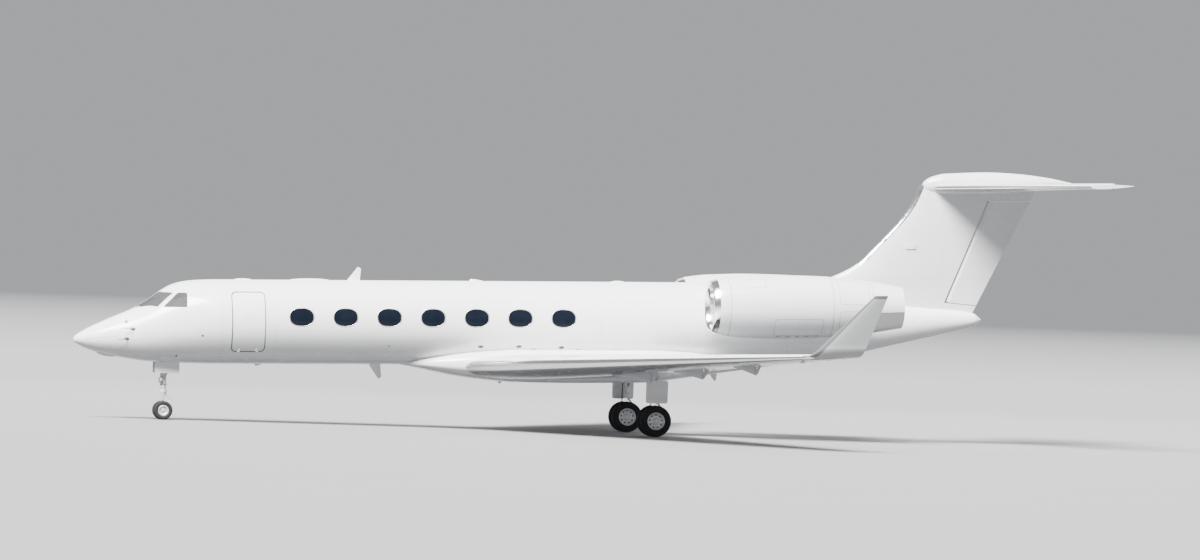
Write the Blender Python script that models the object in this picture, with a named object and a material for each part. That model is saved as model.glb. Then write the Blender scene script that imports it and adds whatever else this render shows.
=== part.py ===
"""Large-cabin twin-engine business jet with a T-tail and winglets, parked on its wheels.

Everything on the airframe is drawn in stations: X is metres aft of the nose tip, Y is
metres to the right of the centre plane and Z is metres above the axis of the cabin tube.
The empty "airframe" then sets that frame on the ground with its parked pitch. Landing
gear is drawn upright on the ground instead, so its wheels and its steering stand plumb.
"""

import math

import bmesh
import bpy
from mathutils import Matrix, Vector

# Driving dimensions, in metres.
CABIN_RADIUS = 1.195
WALL = 0.075
FIT = 0.0003
SEAT_GAP = 0.0005
PANEL_GAP = 0.006
PIN_RADIUS = 0.012
PIN_REACH = 0.040
NOSE_LAP = 0.0023
BORE_GAP = 0.0008
ORIGIN_STATION = 14.645
AXIS_HEIGHT = 3.115
PITCH = math.radians(1.6)
RADOME_END = 1.30
COCKPIT_END = 4.10
CABIN_END = 14.90
AFT_END = 20.40
FLOOR_LEVEL = -0.815
DECK_LEVEL = -0.80
FLOOR_THICKNESS = 0.03
HULL_SIDES = 24

# Fuselage outlines as (station, metres) points.
CROWN = [
    (0.0, -0.47), (0.07, -0.40), (0.33, -0.235), (0.75, -0.03), (1.17, 0.15), (1.6, 0.33),
    (1.88, 0.48), (2.17, 0.67), (2.45, 0.87), (2.73, 1.03), (3.02, 1.12), (3.45, 1.175),
    (4.1, 1.195), (18.0, 1.195), (19.5, 1.14), (20.5, 1.05), (21.5, 0.94), (22.5, 0.80),
    (23.5, 0.63), (24.5, 0.52), (25.65, 0.42), (26.05, 0.35), (26.26, 0.19),
]
KEEL = [
    (0.0, -0.57), (0.07, -0.62), (0.33, -0.76), (0.75, -0.90), (1.17, -0.99), (1.6, -1.07),
    (2.17, -1.14), (3.02, -1.18), (4.1, -1.195), (19.2, -1.195), (20.3, -1.15), (21.5, -0.99),
    (22.7, -0.80), (23.6, -0.60), (24.5, -0.40), (25.35, -0.20), (26.05, -0.02), (26.26, 0.13),
]
BREADTH = [
    (0.0, 0.05), (0.07, 0.13), (0.33, 0.30), (0.75, 0.475), (1.17, 0.615), (1.6, 0.745),
    (2.17, 0.905), (2.73, 1.02), (3.45, 1.12), (4.1, 1.17), (5.0, 1.195), (17.2, 1.195),
    (19.0, 1.12), (20.5, 0.97), (22.0, 0.76), (23.5, 0.53), (25.0, 0.33), (26.05, 0.18),
    (26.26, 0.03),
]
WATERLINE = [
    (0.0, -0.52), (1.17, -0.42), (2.17, -0.26), (3.02, -0.14), (4.1, -0.03), (5.0, 0.0),
    (19.0, 0.0), (21.5, 0.0), (23.5, 0.02), (25.0, 0.10), (26.26, 0.16),
]

# Belly fairing: depth below the axis, half width and upper edge by station.
BELLY_DEPTH = [
    (9.25, 1.18), (9.7, 1.27), (10.2, 1.38), (10.9, 1.52), (11.6, 1.61), (12.6, 1.68), (14.0, 1.70),
    (16.3, 1.68), (17.4, 1.56), (18.4, 1.42), (19.3, 1.30), (20.1, 1.185),
]
BELLY_HALF = [
    (9.25, 0.30), (9.7, 0.66), (10.2, 0.95), (10.9, 1.18), (11.6, 1.28), (12.6, 1.34), (16.3, 1.34),
    (17.4, 1.26), (18.4, 1.08), (19.3, 0.80), (20.1, 0.30),
]
BELLY_TOP = [
    (9.25, -1.10), (9.7, -1.02), (10.2, -0.92), (10.9, -0.80), (11.6, -0.72), (12.6, -0.66),
    (16.3, -0.66), (17.4, -0.72), (18.4, -0.84), (19.3, -0.98), (20.1, -1.10),
]

# Passenger door on the left side.
DOOR_FRONT = 4.38
DOOR_BACK = 5.30
DOOR_SILL = -0.82
DOOR_HEAD = 0.84
DOOR_CORNER = 0.13
STEP_COUNT = 5
STEP_DEPTH = 0.23
STEP_HALF_WIDTH = 0.33
STAIR_ANGLE = math.radians(135)
HINGE_STANDOFF = 0.020
HINGE_LUG_WIDTH = 0.030
DOOR_PIN = 0.006

# Cabin windows.
WINDOW_COUNT = 7
WINDOW_FIRST = 6.34
WINDOW_PITCH = 1.25
WINDOW_LEVEL = 0.15
WINDOW_HALF_LENGTH = 0.34
WINDOW_HALF_HEIGHT = 0.25
WINDOW_SIDES = 12

# Windscreen outline seen from above and side window outline seen from the side.
WINDSCREEN = [(1.775, 0.035), (1.86, 0.35), (2.30, 0.728), (2.785, 0.614), (2.48, 0.36), (2.40, 0.035)]
SIDE_WINDOW = [(2.417, 0.40), (2.871, 0.832), (3.15, 0.832), (3.125, 0.40)]

# Wing.
WING_ROOT_SPAN = 0.95
WING_TIP_SPAN = 13.30
WING_NOSE_STATION = 10.32
WING_NOSE_SLOPE = 0.5844
WING_CHORD_CENTRE = 6.00
WING_CHORD_SLOPE = -0.3333
WING_NOSE_LEVEL = -1.262
WING_DIHEDRAL = 0.0419
WING_THICKNESS = (0.125, 0.100)
WING_TWIST = (math.radians(2.4), math.radians(-0.4))
CHORD_STEPS = (0.0, 0.01, 0.05, 0.14, 0.30, 0.50, 0.72, 1.0)
FLAP_SPAN = (2.95, 9.30)
FLAP_FRONT = 0.76
FLAP_HINGE_DROP = 0.20
FLAP_BRACKETS = (0.06, 0.50, 0.94)
FLAP_PIN = 0.015
SPOILER_PIN = 0.006
AILERON_SPAN = (9.95, 12.85)
AILERON_HINGE = 0.76
SPOILER_SPAN = (3.50, 8.90)
SPOILER_HINGE = 0.60
SPOILER_BACK = 0.735
SPOILER_HALF_THICKNESS = 0.015

# Winglet: angle from level at the top, blend radius and top edge.
WINGLET_CANT = math.radians(77)
WINGLET_BLEND = 0.42
WINGLET_TOP = (14.235, 0.98)
WINGLET_TOP_STATION = 19.93
WINGLET_TOP_CHORD = 0.36

# Tail.
FIN_NOSE = [
    (0.25, 20.6), (1.02, 20.9), (1.24, 21.5), (1.50, 22.15), (1.72, 22.55), (2.12, 22.99),
    (3.44, 24.17), (4.05, 24.45),
]
FIN_TAIL_STATION = 26.10
FIN_TAIL_LEVEL = 0.52
FIN_TAIL_SLOPE = 0.5195
RUDDER_FOOT = (25.30, 0.66)
RUDDER_HEAD = (26.55, 3.58)
TAILPLANE_HALF_SPAN = 5.36
TAILPLANE_NOSE_STATION = 24.70
TAILPLANE_NOSE_SLOPE = 0.642
TAILPLANE_CHORD_CENTRE = 3.20
TAILPLANE_CHORD_SLOPE = -0.364
TAILPLANE_LEVEL = 3.96
TAILPLANE_RISE = 0.006
TAILPLANE_THICKNESS = 0.095
TAILPLANE_TILT = math.radians(-1.5)
ELEVATOR_SPAN = (0.64, 4.95)
ELEVATOR_HINGE = 0.72

# Fairing on top of the fin: station, level, half height and half width.
BULLET = [
    (24.50, 4.02, 0.03, 0.03), (24.57, 4.03, 0.13, 0.10), (24.78, 4.04, 0.25, 0.18),
    (25.2, 4.06, 0.325, 0.235), (26.2, 4.10, 0.33, 0.25), (27.3, 4.12, 0.275, 0.22),
    (28.2, 4.12, 0.17, 0.14), (28.95, 4.12, 0.02, 0.02),
]

# Engines: nacelle axis, and profiles as (station, radius).
ENGINE_SPAN = 2.42
ENGINE_LEVEL = 0.53
NACELLE_SIDES = 24
NACELLE_SQUASH = 0.955
FAN_STATION = 18.95
FAN_RADIUS = 0.610
FAN_BLADES = 18
STRUT_COUNT = 6
NACELLE_OUTER = [
    (17.80, 0.695), (17.86, 0.745), (18.1, 0.810), (18.7, 0.875), (19.8, 0.905), (21.0, 0.880),
    (22.2, 0.765), (23.34, 0.590),
]
NACELLE_INNER = [
    (23.34, 0.570), (22.2, 0.645), (19.5, 0.640), (18.2, 0.600), (17.88, 0.640),
]

# Landing gear, on the ground plane: stations are along the ground from the row's origin.
NOSE_GEAR_STATION = 2.58
WHEELBASE = 13.72
TRACK = 4.37
NOSE_TYRE = (0.2665, 0.184)
MAIN_TYRE = (0.4445, 0.280)
TYRE_SIDES = 20
AXLE_RADIUS = 0.045
NOSE_HALF_TRACK = 0.185
MAIN_HALF_TRACK = 0.245
NOSE_TUBE_END = 0.86
MAIN_TUBE_END = 0.98
MAIN_LEG_TOP = 1.85
BRACE_RADIUS = 0.042
BRACE_REACH = 0.80
BRACE_TOP = 1.76
MAIN_LEG_RADIUS = 0.105
NOSE_LEG_RADIUS = 0.085
NOSE_LEG_SEAT = 0.008


def smooth(points, x):
    """Reads a monotone cubic curve through (x, value) points."""
    for start, end in zip(points, points[1:]):
        if x <= end[0]:
            break
    i = points.index(start)

    def slope(j):
        before = points[max(j - 1, 0)]
        here = points[j]
        after = points[min(j + 1, len(points) - 1)]
        left = (here[1] - before[1]) / (here[0] - before[0]) if before is not here else None
        right = (after[1] - here[1]) / (after[0] - here[0]) if after is not here else None
        if left is None:
            return right
        if right is None:
            return left
        return 0.0 if left * right <= 0 else 2 * left * right / (left + right)

    step = end[0] - start[0]
    t = min(max((x - start[0]) / step, 0.0), 1.0)
    a = start[1] * (1 + 2 * t) * (1 - t) ** 2 + end[1] * t * t * (3 - 2 * t)
    b = slope(i) * step * t * (1 - t) ** 2 - slope(i + 1) * step * t * t * (1 - t)
    return a + b


# Scene and materials.
def clear_scene():
    for obj in list(bpy.data.objects):
        bpy.data.objects.remove(obj, do_unlink=True)


def make_material(name, colour, roughness, metallic=0.0, alpha=1.0):
    material = bpy.data.materials.new(name)
    material.use_nodes = True
    shader = material.node_tree.nodes["Principled BSDF"]
    shader.inputs["Base Color"].default_value = (*colour, 1.0)
    shader.inputs["Roughness"].default_value = roughness
    shader.inputs["Metallic"].default_value = metallic
    shader.inputs["Alpha"].default_value = alpha
    return material


def make_empty(name, location, parent=None):
    empty = bpy.data.objects.new(name, None)
    empty.location = location
    empty.parent = parent
    bpy.context.scene.collection.objects.link(empty)
    return empty


clear_scene()
AIRFRAME = make_empty("airframe", (0.0, 0.0, AXIS_HEIGHT))
AIRFRAME.rotation_euler = (0.0, -PITCH, 0.0)
GROUND = make_empty("ground", (0.0, 0.0, 0.0))
WHITE = make_material("white_paint", (0.86, 0.87, 0.88), 0.28)
GLASS = make_material("dark_glass", (0.03, 0.04, 0.07), 0.08)
SCREEN = make_material("windscreen_glass", (0.22, 0.23, 0.24), 0.08)
METAL = make_material("bare_metal", (0.55, 0.56, 0.58), 0.35, 1.0)
STEEL = make_material("gear_steel", (0.72, 0.73, 0.74), 0.4, 0.6)
DARK = make_material("engine_dark", (0.10, 0.10, 0.11), 0.5, 0.8)
RUBBER = make_material("tyre_rubber", (0.025, 0.025, 0.027), 0.85)
TRIM = make_material("cabin_trim", (0.45, 0.43, 0.40), 0.7)
LEATHER = make_material("seat_leather", (0.20, 0.15, 0.11), 0.6)


def world_point(point):
    """The world place of a point given in airframe stations."""
    bpy.context.view_layer.update()
    return AIRFRAME.matrix_world @ (Vector(point) - Vector((ORIGIN_STATION, 0.0, 0.0)))


def finish(name, bm, material, parent=AIRFRAME, cutter=False, pivot=None):
    """Makes an object of a bmesh drawn in stations, or on the ground when parent is GROUND."""
    bmesh.ops.remove_doubles(bm, verts=bm.verts, dist=1e-5)
    bmesh.ops.recalc_face_normals(bm, faces=bm.faces)
    shift = Vector((ORIGIN_STATION, 0.0, 0.0)) if parent is AIRFRAME else Vector((0.0, 0.0, 0.0))
    place = Vector(pivot) - shift if pivot is not None else Vector((0.0, 0.0, 0.0))
    bmesh.ops.translate(bm, verts=bm.verts, vec=-shift - place)
    if bm.calc_volume(signed=True) < 0:
        bmesh.ops.reverse_faces(bm, faces=bm.faces)
    mesh = bpy.data.meshes.new(name)
    bm.to_mesh(mesh)
    bm.free()
    obj = bpy.data.objects.new(name, mesh)
    obj.location = place
    obj.parent = parent
    bpy.context.scene.collection.objects.link(obj)
    if cutter:
        obj.hide_render = True
        obj.display_type = "WIRE"
        return obj
    mesh.materials.append(material)
    mesh.shade_smooth()
    mesh.set_sharp_from_angle(angle=math.radians(35))
    return obj


def combine(obj, other, operation):
    modifier = obj.modifiers.new(operation.lower() + "_" + other.name, "BOOLEAN")
    modifier.operation = operation
    modifier.object = other
    modifier.solver = "EXACT"
    modifier.use_self = operation == "UNION"
    return obj


def carve(obj, *cutters):
    for cutter in cutters:
        combine(obj, cutter, "DIFFERENCE")
    return obj


def unite(obj, *others):
    for other in others:
        combine(obj, other, "UNION")
    return obj


# Shapes.
def is_flat(a, b, c, d):
    square = (c - a).cross(d - b)
    return abs((b - a).dot(square)) < 1e-6 * max(square.length, 1e-9)


def add_loft(bm, rings, closed=False, caps=True):
    """Bridges rings of equal point count. Warped quads split one way, so nested lofts match."""
    rows = [[bm.verts.new(point) for point in ring] for ring in rings]
    pairs = list(zip(rows, rows[1:]))
    if closed:
        pairs.append((rows[-1], rows[0]))
    count = len(rows[0])
    for low, high in pairs:
        for k in range(count):
            n = (k + 1) % count
            quad = (low[k], low[n], high[n], high[k])
            if is_flat(*[corner.co for corner in quad]):
                bm.faces.new(quad)
            else:
                bm.faces.new(quad[:3])
                bm.faces.new((quad[0], quad[2], quad[3]))
    if caps and not closed:
        bm.faces.new(rows[0])
        bm.faces.new(list(reversed(rows[-1])))


def loft(rings, closed=False):
    bm = bmesh.new()
    add_loft(bm, rings, closed)
    return bm


def add_prism(bm, outline, start, end):
    """A prism between two faces: start and end turn an outline point into 3-D."""
    add_loft(bm, [[start(p) for p in outline], [end(p) for p in outline]])


def side_prism(outline, near, far):
    """A prism across the aircraft from an outline of (station, level) points."""
    bm = bmesh.new()
    add_prism(bm, outline, lambda p: (p[0], near, p[1]), lambda p: (p[0], far, p[1]))
    return bm


def plan_prism(outline, low, high):
    """A prism up and down from an outline of (station, span) points."""
    bm = bmesh.new()
    add_prism(bm, outline, lambda p: (p[0], p[1], low), lambda p: (p[0], p[1], high))
    return bm


def add_rod(bm, start, end, radius, end_radius=None, sides=12):
    """A round rod or cone between two points."""
    start = Vector(start)
    end = Vector(end)
    turn = Vector((0, 0, 1)).rotation_difference(end - start)
    rings = []
    for centre, size in ((start, radius), (end, radius if end_radius is None else end_radius)):
        angles = [2 * math.pi * k / sides for k in range(sides)]
        rings.append([centre + turn @ Vector((size * math.cos(a), size * math.sin(a), 0)) for a in angles])
    add_loft(bm, rings)


def rod(*args, **options):
    bm = bmesh.new()
    add_rod(bm, *args, **options)
    return bm


def turned(profile, centre, axis, sides, closed=True, squash=1.0):
    """Turns (along, radius) points about an axis through centre. squash narrows it sideways."""
    axis = Vector(axis).normalized()
    turn = Vector((1, 0, 0)).rotation_difference(axis)
    rings = []
    for along, radius in profile:
        ring = []
        for k in range(sides):
            angle = 2 * math.pi * k / sides
            local = Vector((along, radius * math.sin(angle) * squash, radius * math.cos(angle)))
            ring.append(Vector(centre) + turn @ local)
        rings.append(ring)
    return loft(rings, closed)


def rounded_outline(low, high, corner, steps=4, shrink=0.0):
    """A rectangle with round corners, as (a, b) points."""
    low = (low[0] + shrink, low[1] + shrink)
    high = (high[0] - shrink, high[1] - shrink)
    corner -= shrink
    centres = [
        (high[0] - corner, high[1] - corner, 0), (low[0] + corner, high[1] - corner, 90),
        (low[0] + corner, low[1] + corner, 180), (high[0] - corner, low[1] + corner, 270),
    ]
    points = []
    for a, b, first in centres:
        for k in range(steps + 1):
            angle = math.radians(first + 90 * k / steps)
            points.append((a + corner * math.cos(angle), b + corner * math.sin(angle)))
    return points


def shrunk(outline, amount):
    """Moves each corner of a convex or nearly convex outline inwards by amount along its edges."""
    area = sum(a[0] * b[1] - b[0] * a[1] for a, b in zip(outline, outline[1:] + outline[:1]))
    turn = 1.0 if area > 0 else -1.0
    result = []
    for i, here in enumerate(outline):
        before = Vector(here) - Vector(outline[i - 1])
        after = Vector(outline[(i + 1) % len(outline)]) - Vector(here)
        n1 = Vector((-before.y, before.x)).normalized() * turn
        n2 = Vector((-after.y, after.x)).normalized() * turn
        mitre = (n1 + n2) / (1 + n1.dot(n2))
        result.append(tuple(Vector(here) + mitre * amount))
    return result


# Fuselage.
def hull_ring(station, inset=0.0):
    """One section of the fuselage skin, moved inwards by inset."""
    level = smooth(WATERLINE, station)
    half = max(smooth(BREADTH, station) - inset, 0.01)
    up = max(smooth(CROWN, station) - level - inset, 0.01)
    down = max(level - smooth(KEEL, station) - inset, 0.01)
    ring = []
    for k in range(HULL_SIDES):
        angle = 2 * math.pi * k / HULL_SIDES
        rise = math.cos(angle)
        ring.append((station, half * math.sin(angle), level + (up if rise > 0 else down) * rise))
    return ring


def lining_half_width(station, level):
    """Half the width between the faceted linings at a level below the waterline."""
    ring = hull_ring(station, WALL)[: HULL_SIDES // 2 + 1]
    for high, low in zip(ring, ring[1:]):
        if high[2] >= level > low[2]:
            return high[1] + (low[1] - high[1]) * (high[2] - level) / (high[2] - low[2])
    return 0.0


def hull_stations(start, end):
    """Ring stations between two frames: close where the skin curves, and none along the tube."""
    marks = [0.0, 0.05, 0.16, 0.38, 0.70, 1.3, 1.6, 1.88, 2.17, 2.45, 2.73, 3.02, 3.45, 4.1, 5.0]
    marks += [17.2, 18.2, 19.2, 20.4, 21.5, 22.7, 23.6, 24.5, 25.4, 26.05, 26.2, 26.26]
    return [start] + [m for m in marks if start + 0.01 < m < end - 0.01] + [end]


def hull_shell(start, end, outer=0.0, inner=WALL):
    """A length of skin. The lining of a long one follows every second station."""
    stations = hull_stations(start, end)
    lining = stations[:1] + stations[2:-1:2] + stations[-1:]
    if inner - outer < WALL or len(stations) < 7:
        lining = stations
    rings = [hull_ring(s, outer) for s in stations] + [hull_ring(s, inner) for s in reversed(lining)]
    return loft(rings, closed=True)


def hull_envelope(name, start, end):
    """A cutter with the fuselage's outside, a fit larger."""
    rings = [hull_ring(s, -SEAT_GAP) for s in hull_stations(start, end)]
    return finish(name, loft(rings), None, cutter=True)


def nose_radome():
    stations = hull_stations(0.0, RADOME_END - FIT)
    inner = stations[3::2]
    rings = [hull_ring(s) for s in stations] + [hull_ring(s, 0.05) for s in reversed(inner)]
    return finish("nose_radome", loft(rings), WHITE)


def windscreen_prism(side, shrink):
    outline = shrunk([(a, side * b) for a, b in WINDSCREEN], shrink)
    return plan_prism(outline, 0.1, 1.3)


def side_window_prism(side, shrink):
    outline = shrunk(SIDE_WINDOW, shrink)
    return side_prism(outline, side * 0.40, side * 1.3)


def cockpit():
    body = finish("cockpit_fuselage", hull_shell(RADOME_END, COCKPIT_END - FIT), WHITE)
    for side, hand in ((-1, "left"), (1, "right")):
        for kind, prism in (("windscreen", windscreen_prism), ("cockpit_side_window", side_window_prism)):
            carve(body, finish("cut_" + kind + "_" + hand, prism(side, 0.0), None, cutter=True))
            pane = finish(kind + "_" + hand, hull_shell(1.6, 3.45, 0.006, 0.026), SCREEN)
            slab = finish("fit_" + kind + "_" + hand, prism(side, 0.0008), None, cutter=True)
            combine(pane, slab, "INTERSECT")
    return body


def door_outline(shrink=0.0):
    return rounded_outline((DOOR_FRONT, DOOR_SILL), (DOOR_BACK, DOOR_HEAD), DOOR_CORNER, 4, shrink)


def window_outline(centre, shrink=0.0):
    """A squarish oval round a window's centre."""
    points = []
    for k in range(WINDOW_SIDES):
        angle = 2 * math.pi * k / WINDOW_SIDES
        c, s = math.cos(angle), math.sin(angle)
        a = (WINDOW_HALF_LENGTH - shrink) * math.copysign(abs(c) ** 0.84, c)
        b = (WINDOW_HALF_HEIGHT - shrink) * math.copysign(abs(s) ** 0.84, s)
        points.append((centre + a, WINDOW_LEVEL + b))
    return points


def cabin():
    body = finish("cabin_fuselage", hull_shell(COCKPIT_END, CABIN_END - FIT), WHITE)
    holes = bmesh.new()
    for index in range(WINDOW_COUNT):
        outline = window_outline(WINDOW_FIRST + index * WINDOW_PITCH)
        for near, far in ((-0.9, -1.4), (0.9, 1.4)):
            add_prism(holes, outline, lambda p: (p[0], near, p[1]), lambda p: (p[0], far, p[1]))
    add_prism(holes, door_outline(), lambda p: (p[0], -0.5, p[1]), lambda p: (p[0], -1.5, p[1]))
    carve(body, finish("cut_cabin_openings", holes, None, cutter=True))
    lugs = bmesh.new()
    bores = bmesh.new()
    hinge = door_hinge()
    for station, way in ((DOOR_FRONT + 0.22, -1), (DOOR_BACK - 0.22, 1)):
        hinge_lug(lugs, station + way * (HINGE_LUG_WIDTH + 0.003), -1)
        end = (station + way * 0.055, *hinge[1:])
        add_rod(bores, (station, *hinge[1:]), end, DOOR_PIN + BORE_GAP, sides=8)
    unite(body, finish("add_sill_lugs", lugs, None, cutter=True))
    return carve(body, finish("cut_sill_bores", bores, None, cutter=True))


def cabin_windows(side, hand):
    """The inner belt of one side with its oval panes standing out into the skin's openings."""
    seat = CABIN_RADIUS - WALL - FIT
    angles = [math.radians(90 - a * 360 / HULL_SIDES) for a in (-1, 0, 1, 2)]
    section = [(seat * math.sin(a), seat * math.cos(a)) for a in angles]
    section += [((seat - 0.022) * math.sin(a), (seat - 0.022) * math.cos(a)) for a in angles[::-1]]
    front = WINDOW_FIRST - 0.5
    back = WINDOW_FIRST + (WINDOW_COUNT - 1) * WINDOW_PITCH + 0.5
    belt = loft([[(x, side * y, z) for y, z in section] for x in (front, back)])
    panes = bmesh.new()
    inner = seat - 0.010
    outer = CABIN_RADIUS - 0.012
    for index in range(WINDOW_COUNT):
        centre = WINDOW_FIRST + index * WINDOW_PITCH
        outline = window_outline(centre, 0.001)
        rings = []
        for radius, scale in ((inner, 0.0), (inner, 1.0), (outer, 1.0), (outer, 0.0)):
            ring = []
            for x, z in outline:
                x = centre + (x - centre) * scale
                z = WINDOW_LEVEL + (z - WINDOW_LEVEL) * scale
                ring.append((x, side * math.sqrt(radius * radius - z * z), z))
            rings.append(ring)
        add_fan_loft(panes, rings)
    belt = finish("cabin_windows_" + hand, belt, GLASS)
    return unite(belt, finish("add_panes_" + hand, panes, None, cutter=True))


def add_fan_loft(bm, rings):
    """Bridges rings whose first and last have shrunk to one point each."""
    first = bm.verts.new(rings[0][0])
    last = bm.verts.new(rings[-1][0])
    rows = [[bm.verts.new(point) for point in ring] for ring in rings[1:-1]]
    count = len(rows[0])
    for k in range(count):
        n = (k + 1) % count
        bm.faces.new((first, rows[0][n], rows[0][k]))
        for low, high in zip(rows, rows[1:]):
            bm.faces.new((low[k], low[n], high[n], high[k]))
        bm.faces.new((last, rows[-1][k], rows[-1][n]))


def airstair_door():
    """The curved door panel with its treads, hinged along the sill."""
    hinge = door_hinge()
    body = finish("airstair_door", hull_shell(COCKPIT_END, 5.6), WHITE, pivot=hinge)
    slab = side_prism(door_outline(PANEL_GAP), -0.5, -1.5)
    combine(body, finish("fit_door", slab, None, cutter=True), "INTERSECT")
    treads = bmesh.new()
    middle = (DOOR_FRONT + DOOR_BACK) / 2
    for index in range(STEP_COUNT):
        level = DOOR_SILL + 0.20 + index * 0.275
        inside = CABIN_RADIUS - WALL
        root = Vector((-math.sqrt(inside**2 - level**2) - 0.03, level))
        reach = Vector((math.sin(STAIR_ANGLE), -math.cos(STAIR_ANGLE))) * STEP_DEPTH
        thick = Vector((-reach.y, reach.x)).normalized() * 0.012
        outline = [root - thick, root + reach - thick, root + reach + thick, root + thick]
        front = middle - STEP_HALF_WIDTH
        back = middle + STEP_HALF_WIDTH
        add_prism(treads, outline, lambda p: (front, p.x, p.y), lambda p: (back, p.x, p.y))
    unite(body, finish("add_treads", treads, None, cutter=True))
    lugs = bmesh.new()
    pins = bmesh.new()
    for station, way in ((DOOR_FRONT + 0.22, -1), (DOOR_BACK - 0.22, 1)):
        hinge_lug(lugs, station, 1)
        add_rod(pins, (station, *hinge[1:]), (station + way * 0.050, *hinge[1:]), DOOR_PIN, sides=8)
    unite(body, finish("add_door_lugs", lugs, None, cutter=True))
    return unite(body, finish("add_door_pins", pins, None, cutter=True))


def door_hinge():
    """A point on the door's hinge line, just outside the skin at the sill."""
    radius = CABIN_RADIUS + HINGE_STANDOFF
    angle = math.asin(DOOR_SILL / CABIN_RADIUS)
    return ((DOOR_FRONT + DOOR_BACK) / 2, -radius * math.cos(angle), radius * math.sin(angle))


def hinge_lug(bm, station, way):
    """A plate round the hinge line: way is 1 up onto the door and -1 down onto the sill's skin."""
    hinge = Vector(door_hinge()[1:])
    out = hinge.normalized()
    up = Vector((out.y, -out.x))
    outline = [(-0.034, 0.080), (-0.034, 0.022), (-0.006, -0.011)]
    outline += [(0.010, -0.008), (0.010, 0.010), (-0.010, 0.080)]
    outline = [hinge + out * a + up * b * way for a, b in outline]
    half = HINGE_LUG_WIDTH / 2
    add_prism(bm, outline, lambda p: (station - half, p.x, p.y), lambda p: (station + half, p.x, p.y))


def aft_fuselage():
    return finish("aft_fuselage", hull_shell(CABIN_END, AFT_END - FIT), WHITE)


def tail_cone():
    stations = hull_stations(AFT_END, 26.26)
    inner = [s for s in stations[::2] if s < 25.4]
    rings = [hull_ring(s, WALL) for s in inner[::-1]] + [hull_ring(s) for s in stations]
    body = finish("tail_cone", loft(rings), WHITE)
    return carve(body, rudder_pin_bore("cut_rudder_foot_bore", foot=True))


def belly_fairing():
    """The fairing round the wing root, seated on the fuselage tube."""
    rings = []
    for station in [p[0] for p in BELLY_DEPTH]:
        depth = smooth(BELLY_DEPTH, station)
        half = smooth(BELLY_HALF, station)
        top = smooth(BELLY_TOP, station)
        level = (top - depth) / 2
        high = (depth + top) / 2
        ring = []
        for k in range(20):
            angle = 2 * math.pi * k / 20
            c, s = math.cos(angle), math.sin(angle)
            y = half * math.copysign(abs(s) ** 0.62, s)
            z = level + high * math.copysign(abs(c) ** 0.75, c)
            ring.append((station, y, z))
        rings.append(ring)
    return finish("belly_fairing", loft(rings), WHITE)


def cabin_floor():
    """The cabin floor, with the cockpit deck one low step above it."""
    half = lining_half_width(10.0, FLOOR_LEVEL - FLOOR_THICKNESS) - FIT
    plan = [(2.35, 0.42, DECK_LEVEL), (3.1, 0.56, DECK_LEVEL), (4.09, 0.679, DECK_LEVEL)]
    plan += [(4.1, 0.68, FLOOR_LEVEL), (5.0, half, FLOOR_LEVEL), (16.8, half, FLOOR_LEVEL)]
    rings = []
    for x, y, top in plan:
        low = top - FLOOR_THICKNESS
        rings.append([(x, -y, low), (x, y, low), (x, y, top), (x, -y, top)])
    return finish("cabin_floor", loft(rings), TRIM)


def instrument_panel():
    """The glareshield and the panel under it, standing on the cockpit floor."""
    side = [(2.40, DECK_LEVEL + SEAT_GAP), (2.72, DECK_LEVEL + SEAT_GAP), (2.72, -0.45), (2.62, -0.35)]
    side += [(2.50, 0.10), (2.60, 0.20), (2.58, 0.25), (2.25, 0.24), (2.22, 0.10), (2.36, -0.30)]
    return finish("instrument_panel", side_prism(side, -0.38, 0.38), DARK)


def pilot_seat(side, hand):
    """A crew seat on its pedestal: cushion, back and headrest in one upholstered body."""
    middle = side * 0.40
    outline = [
        (3.08, DECK_LEVEL + SEAT_GAP), (3.42, DECK_LEVEL + SEAT_GAP), (3.42, -0.56), (3.60, -0.52),
        (3.72, 0.30), (3.62, 0.30), (3.52, -0.12), (3.46, -0.36), (3.02, -0.33),
        (2.98, -0.45), (3.08, -0.55),
    ]
    seat = side_prism(outline, middle - 0.22, middle + 0.22)
    return finish("pilot_seat_" + hand, seat, LEATHER)


# Wings and tail surfaces.
def foil(chord, thickness, camber, grow=0.0, tip=0.004):
    """An aerofoil outline from the upper trailing edge round the nose to the lower one."""
    upper = []
    lower = []
    for f in CHORD_STEPS:
        half = 5 * thickness * (
            0.2969 * math.sqrt(f) - 0.1260 * f - 0.3516 * f**2 + 0.2843 * f**3 - 0.1036 * f**4
        )
        half = half * chord + tip * f + grow
        middle = camber * chord * 4 * f * (1 - f)
        x = f * (chord + 2 * grow) - grow
        upper.append((x, middle + half))
        lower.append((x, middle - half))
    return upper[::-1] + (lower[1:] if grow == 0.0 else lower)


def wing_values(span):
    """Nose station, chord, nose level, thickness and twist of the wing at a span."""
    part = (span - WING_ROOT_SPAN) / (WING_TIP_SPAN - WING_ROOT_SPAN)
    nose = WING_NOSE_STATION + WING_NOSE_SLOPE * span
    chord = WING_CHORD_CENTRE + WING_CHORD_SLOPE * span
    level = WING_NOSE_LEVEL + WING_DIHEDRAL * span
    thickness = WING_THICKNESS[0] + part * (WING_THICKNESS[1] - WING_THICKNESS[0])
    twist = WING_TWIST[0] + part * (WING_TWIST[1] - WING_TWIST[0])
    return nose, chord, level, thickness, twist


def wing_ring(span, side, grow=0.0):
    nose, chord, level, thickness, twist = wing_values(span)
    ring = []
    for x, z in foil(chord, thickness, 0.012, grow):
        ring.append((nose + x, side * span, level + z - x * math.sin(twist)))
    return ring


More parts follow.
